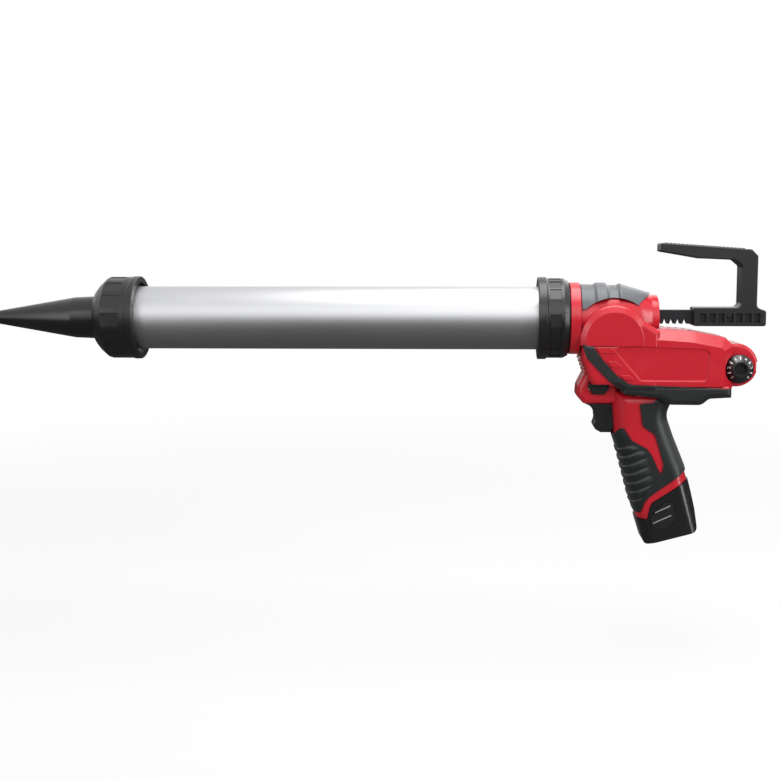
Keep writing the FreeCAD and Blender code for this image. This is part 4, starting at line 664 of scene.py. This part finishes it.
class CAULK_OT_battery(bpy.types.Operator):
    """Battery with its cells and contacts, and its two press latches with their ridges"""

    bl_idname = "caulk.battery"
    bl_label = "Battery"

    # Ends of the latch ridges, X and Z in the grip's own upright frame.
    ridge_ends = (((-9.1, -45.4), (5.1, -42.8)), ((-13.0, -53.9), (3.9, -51.1)))
    ridge_width = 1.0
    ridge_depth = 1.1
    latch_face = 23.6

    def execute(self, context):
        hues = context.scene.caulk_colours
        dress(moulded_plastic("pack_plastic", hues.black, 0.24, 0.03, 0.2, rub=0.05),
              "battery_case", "battery_lid")
        dress(moulded_plastic("latch_plastic", hues.black, 0.34, 0.06, 0.3),
              "battery_latch_left", "battery_latch_right")
        dress(turned_metal("contact_metal", hues.bronze, 0.25), "battery_contacts")
        dress(moulded_plastic("cell_sleeve", hues.cell, 0.28, 0.02), "battery_cells")
        # The ridges are real; their light grey colour is a painted highlight.
        ridge = moulded_plastic("ridge_painted_highlight", hues.ridge, 0.3, 0.05)
        self.latch_ridges("left", -1.0, ridge)
        self.latch_ridges("right", 1.0, ridge)
        return {"FINISHED"}

    def latch_ridges(self, name, side, material):
        """Two ridges across a press latch, for the thumb or finger, their light grey a painted highlight."""
        mesh = bmesh.new()
        for first, second in self.ridge_ends:
            start = Vector((first[0], side * self.latch_face, first[1]))
            end = Vector((second[0], side * self.latch_face, second[1]))
            place = GRIP_TO_FRAME @ axes_at((start + end) / 2, end - start, ACROSS * side)
            bar(mesh, (end - start).length, self.ridge_width, self.ridge_depth, TO_METRES @ place)
        finished(f"latch_ridges_{name}", mesh, material, f"latch_{name}")


class CAULK_OT_drive(bpy.types.Operator):
    """Inner pieces: motor, reducer, gears, shafts, guides and electrics"""

    bl_idname = "caulk.drive"
    bl_label = "Drive"

    def execute(self, context):
        hues = context.scene.caulk_colours
        dress(turned_metal("gear_steel", hues.steel, 0.3), "cross_shaft", "lay_shaft", "rack_pinion",
              "main_gear", "lay_pinion", "bevel_gear", "bevel_pinion", "reducer_case", "reducer_shaft",
              "motor_can", "motor_rotor")
        dress(turned_metal("bush_bronze", hues.bronze, 0.4), "cross_shaft_bushes", "lay_shaft_bushes")
        dress(moulded_plastic("guide_nylon", hues.nylon, 0.5), "rod_guide_front", "rod_guide_rear",
              "rod_backing_pad")
        dress(moulded_plastic("switch_plastic", hues.black, 0.45), "trigger_switch", "handle_terminals",
              "motor_end_cap", "speed_potentiometer")
        dress(printed_board("board_mask", hues.board), "control_board")
        return {"FINISHED"}


class CAULK_OT_stage(bpy.types.Operator):
    """White floor, dark card, soft studio lamps and the camera"""

    bl_idname = "caulk.stage"
    bl_label = "Stage"

    middle = (-0.2, 0.0, 0.0)
    floor_half = 12.0
    floor_bounce = 0.45
    floor_white_near = 0.8
    card_radius = 2.4
    card_wall = 0.36
    card_lift = 0.001
    soft_light = 0.42
    # Each lamp: name, place, what it aims at, width, height, watts.
    lamps = (("top_softbox", (0.0, -0.02, 0.8), (0.0, 0.0, 0.12), 0.6, 0.62, 5.8),
             ("front_softbox", (0.05, -1.7, 1.0), (0.0, 0.0, 0.1), 1.4, 1.0, 7.2),
             ("right_strip", (0.95, -0.7, 0.3), (0.0, 0.0, 0.05), 0.22, 0.9, 5.5),
             ("left_strip", (-1.1, -0.9, 0.35), (-0.1, 0.0, 0.05), 0.22, 0.9, 2.4),
             ("rear_softbox", (0.5, 1.2, 0.8), (-0.1, 0.0, 0.1), 0.8, 0.8, 3.0))
    camera_place = (-0.15027, -1.03738, 0.17776)
    camera_azimuth = math.radians(1.9)
    camera_elevation = math.radians(6.7)

    def execute(self, context):
        scene = context.scene
        scene.view_settings.view_transform = "Standard"
        self.build_floor(scene)
        self.build_card(scene)
        self.light_world(scene)
        self.hang_lamps(scene)
        self.set_camera(scene)
        return {"FINISHED"}

    def build_floor(self, scene):
        """Paper below the battery's way out, which shows white to the eye, still takes a shadow, and is
        darker to the light it bounces, a painted shade on the tool's undersides.
        """
        mesh = bmesh.new()
        bmesh.ops.create_grid(mesh, x_segments=1, y_segments=1, size=self.floor_half)
        bmesh.ops.translate(mesh, verts=mesh.verts, vec=(0.0, 0.0, FLOOR_LEVEL))
        hue = scene.caulk_colours.floor
        finish = Finish("floor_paper", roughness=0.9, specular_ior_level=0.1)
        paper = finish.blend(finish.noise(300.0, 3.0), shade(hue, 0.99), shade(hue, 1.01))
        # Painted shade: to bounced light the floor is darker than its paper, which darkens the tool's
        # undersides.
        finish.set("Base Color", finish.blend(finish.ray("Diffuse"), paper, shade(hue, self.floor_bounce)))
        lit = Wire(finish, finish.shader.outputs["BSDF"])
        glow = finish.add("ShaderNodeEmission", inputs={"Color": WHITE, "Strength": 1.0})
        spot = finish.add("ShaderNodeTexCoord", out="Object")
        away = finish.add("ShaderNodeVectorMath", {"operation": "DISTANCE"},
                          {0: spot, 1: self.middle}, out="Value")
        white = self.floor_white_near + (1.0 - self.floor_white_near) * away.over(1.0, 0.75)
        shown = finish.add("ShaderNodeMixShader", inputs={0: white * finish.seen_directly(), 1: lit, 2: glow})
        finish.feed(finish.tree.nodes["Material Output"].inputs["Surface"], shown)
        laid_out("studio_floor", mesh, finish.material)

    def build_card(self, scene):
        """Dark card round and under the tool that only a gloss shows."""
        mesh = bmesh.new()
        bmesh.ops.create_circle(mesh, cap_ends=True, radius=self.card_radius, segments=64)
        rim = [edge for edge in mesh.edges if edge.is_boundary]
        wall = bmesh.ops.extrude_edge_only(mesh, edges=rim)
        lifted = [item for item in wall["geom"] if isinstance(item, bmesh.types.BMVert)]
        bmesh.ops.translate(mesh, verts=lifted, vec=(0.0, 0.0, self.card_wall))
        just_above = Vector((0.0, 0.0, FLOOR_LEVEL + self.card_lift))
        bmesh.ops.translate(mesh, verts=mesh.verts, vec=Vector(self.middle) + just_above)
        hue = scene.caulk_colours.card
        finish = Finish("card_paper", roughness=0.95, specular_ior_level=0.0)
        finish.set("Base Color", finish.blend(finish.noise(40.0, 3.0), shade(hue, 0.9), shade(hue, 1.1)))
        card = laid_out("dark_card", mesh, finish.material)
        card.visible_camera = False
        card.visible_diffuse = False
        card.visible_transmission = False
        card.visible_shadow = False

    def light_world(self, scene):
        """Even soft light, and plain white where the world itself is seen."""
        world = bpy.data.worlds.new("studio_world")
        scene.world = world
        world.use_nodes = True
        web = Web(world.node_tree)
        sky = world.node_tree.nodes["Background"]
        sky.inputs["Color"].default_value = WHITE
        web.feed(sky.inputs["Strength"], self.soft_light + (1.0 - self.soft_light) * web.seen_directly())

    def hang_lamps(self, scene):
        for name, spot, aim, width, height, watts in self.lamps:
            data = bpy.data.lights.new(name, "AREA")
            data.shape = "RECTANGLE"
            data.size = width
            data.size_y = height
            data.energy = watts
            lamp = bpy.data.objects.new(name, data)
            lamp.location = spot
            lamp.rotation_euler = (Vector(aim) - Vector(spot)).to_track_quat("-Z", "Y").to_euler()
            scene.collection.objects.link(lamp)

    def set_camera(self, scene):
        data = bpy.data.cameras.new("photo_camera")
        data.lens = 55.3
        data.sensor_width = 36.0
        data.shift_x = -0.06
        level = math.cos(self.camera_elevation)
        look = Vector((-math.sin(self.camera_azimuth) * level, math.cos(self.camera_azimuth) * level,
                       -math.sin(self.camera_elevation)))
        camera = bpy.data.objects.new("photo_camera", data)
        camera.location = self.camera_place
        camera.rotation_euler = look.to_track_quat("-Z", "Y").to_euler()
        scene.collection.objects.link(camera)
        scene.camera = camera


STEPS = (CAULK_OT_barrel, CAULK_OT_nuts, CAULK_OT_housing, CAULK_OT_grip, CAULK_OT_controls, CAULK_OT_rod,
         CAULK_OT_battery, CAULK_OT_drive, CAULK_OT_stage)


class CAULK_PT_panel(bpy.types.Panel):
    """Lists the steps that dress the caulking tool"""

    bl_idname = "CAULK_PT_panel"
    bl_label = "Caulking tool"
    bl_space_type = "VIEW_3D"
    bl_region_type = "UI"
    bl_category = "Caulking tool"

    def draw(self, context):
        for step in STEPS:
            self.layout.operator(step.bl_idname)


CLASSES = (CAULK_PG_colours, CAULK_PG_sizes) + STEPS + (CAULK_PT_panel,)


def register():
    for item in CLASSES:
        bpy.utils.register_class(item)
    bpy.types.Scene.caulk_colours = PointerProperty(type=CAULK_PG_colours)
    bpy.types.Scene.caulk_sizes = PointerProperty(type=CAULK_PG_sizes)


def unregister():
    del bpy.types.Scene.caulk_sizes
    del bpy.types.Scene.caulk_colours
    for item in reversed(CLASSES):
        bpy.utils.unregister_class(item)


def main():
    register()
    for step in STEPS:
        group, name = step.bl_idname.split(".")
        getattr(getattr(bpy.ops, group), name)()


if __name__ == "__main__":
    main()
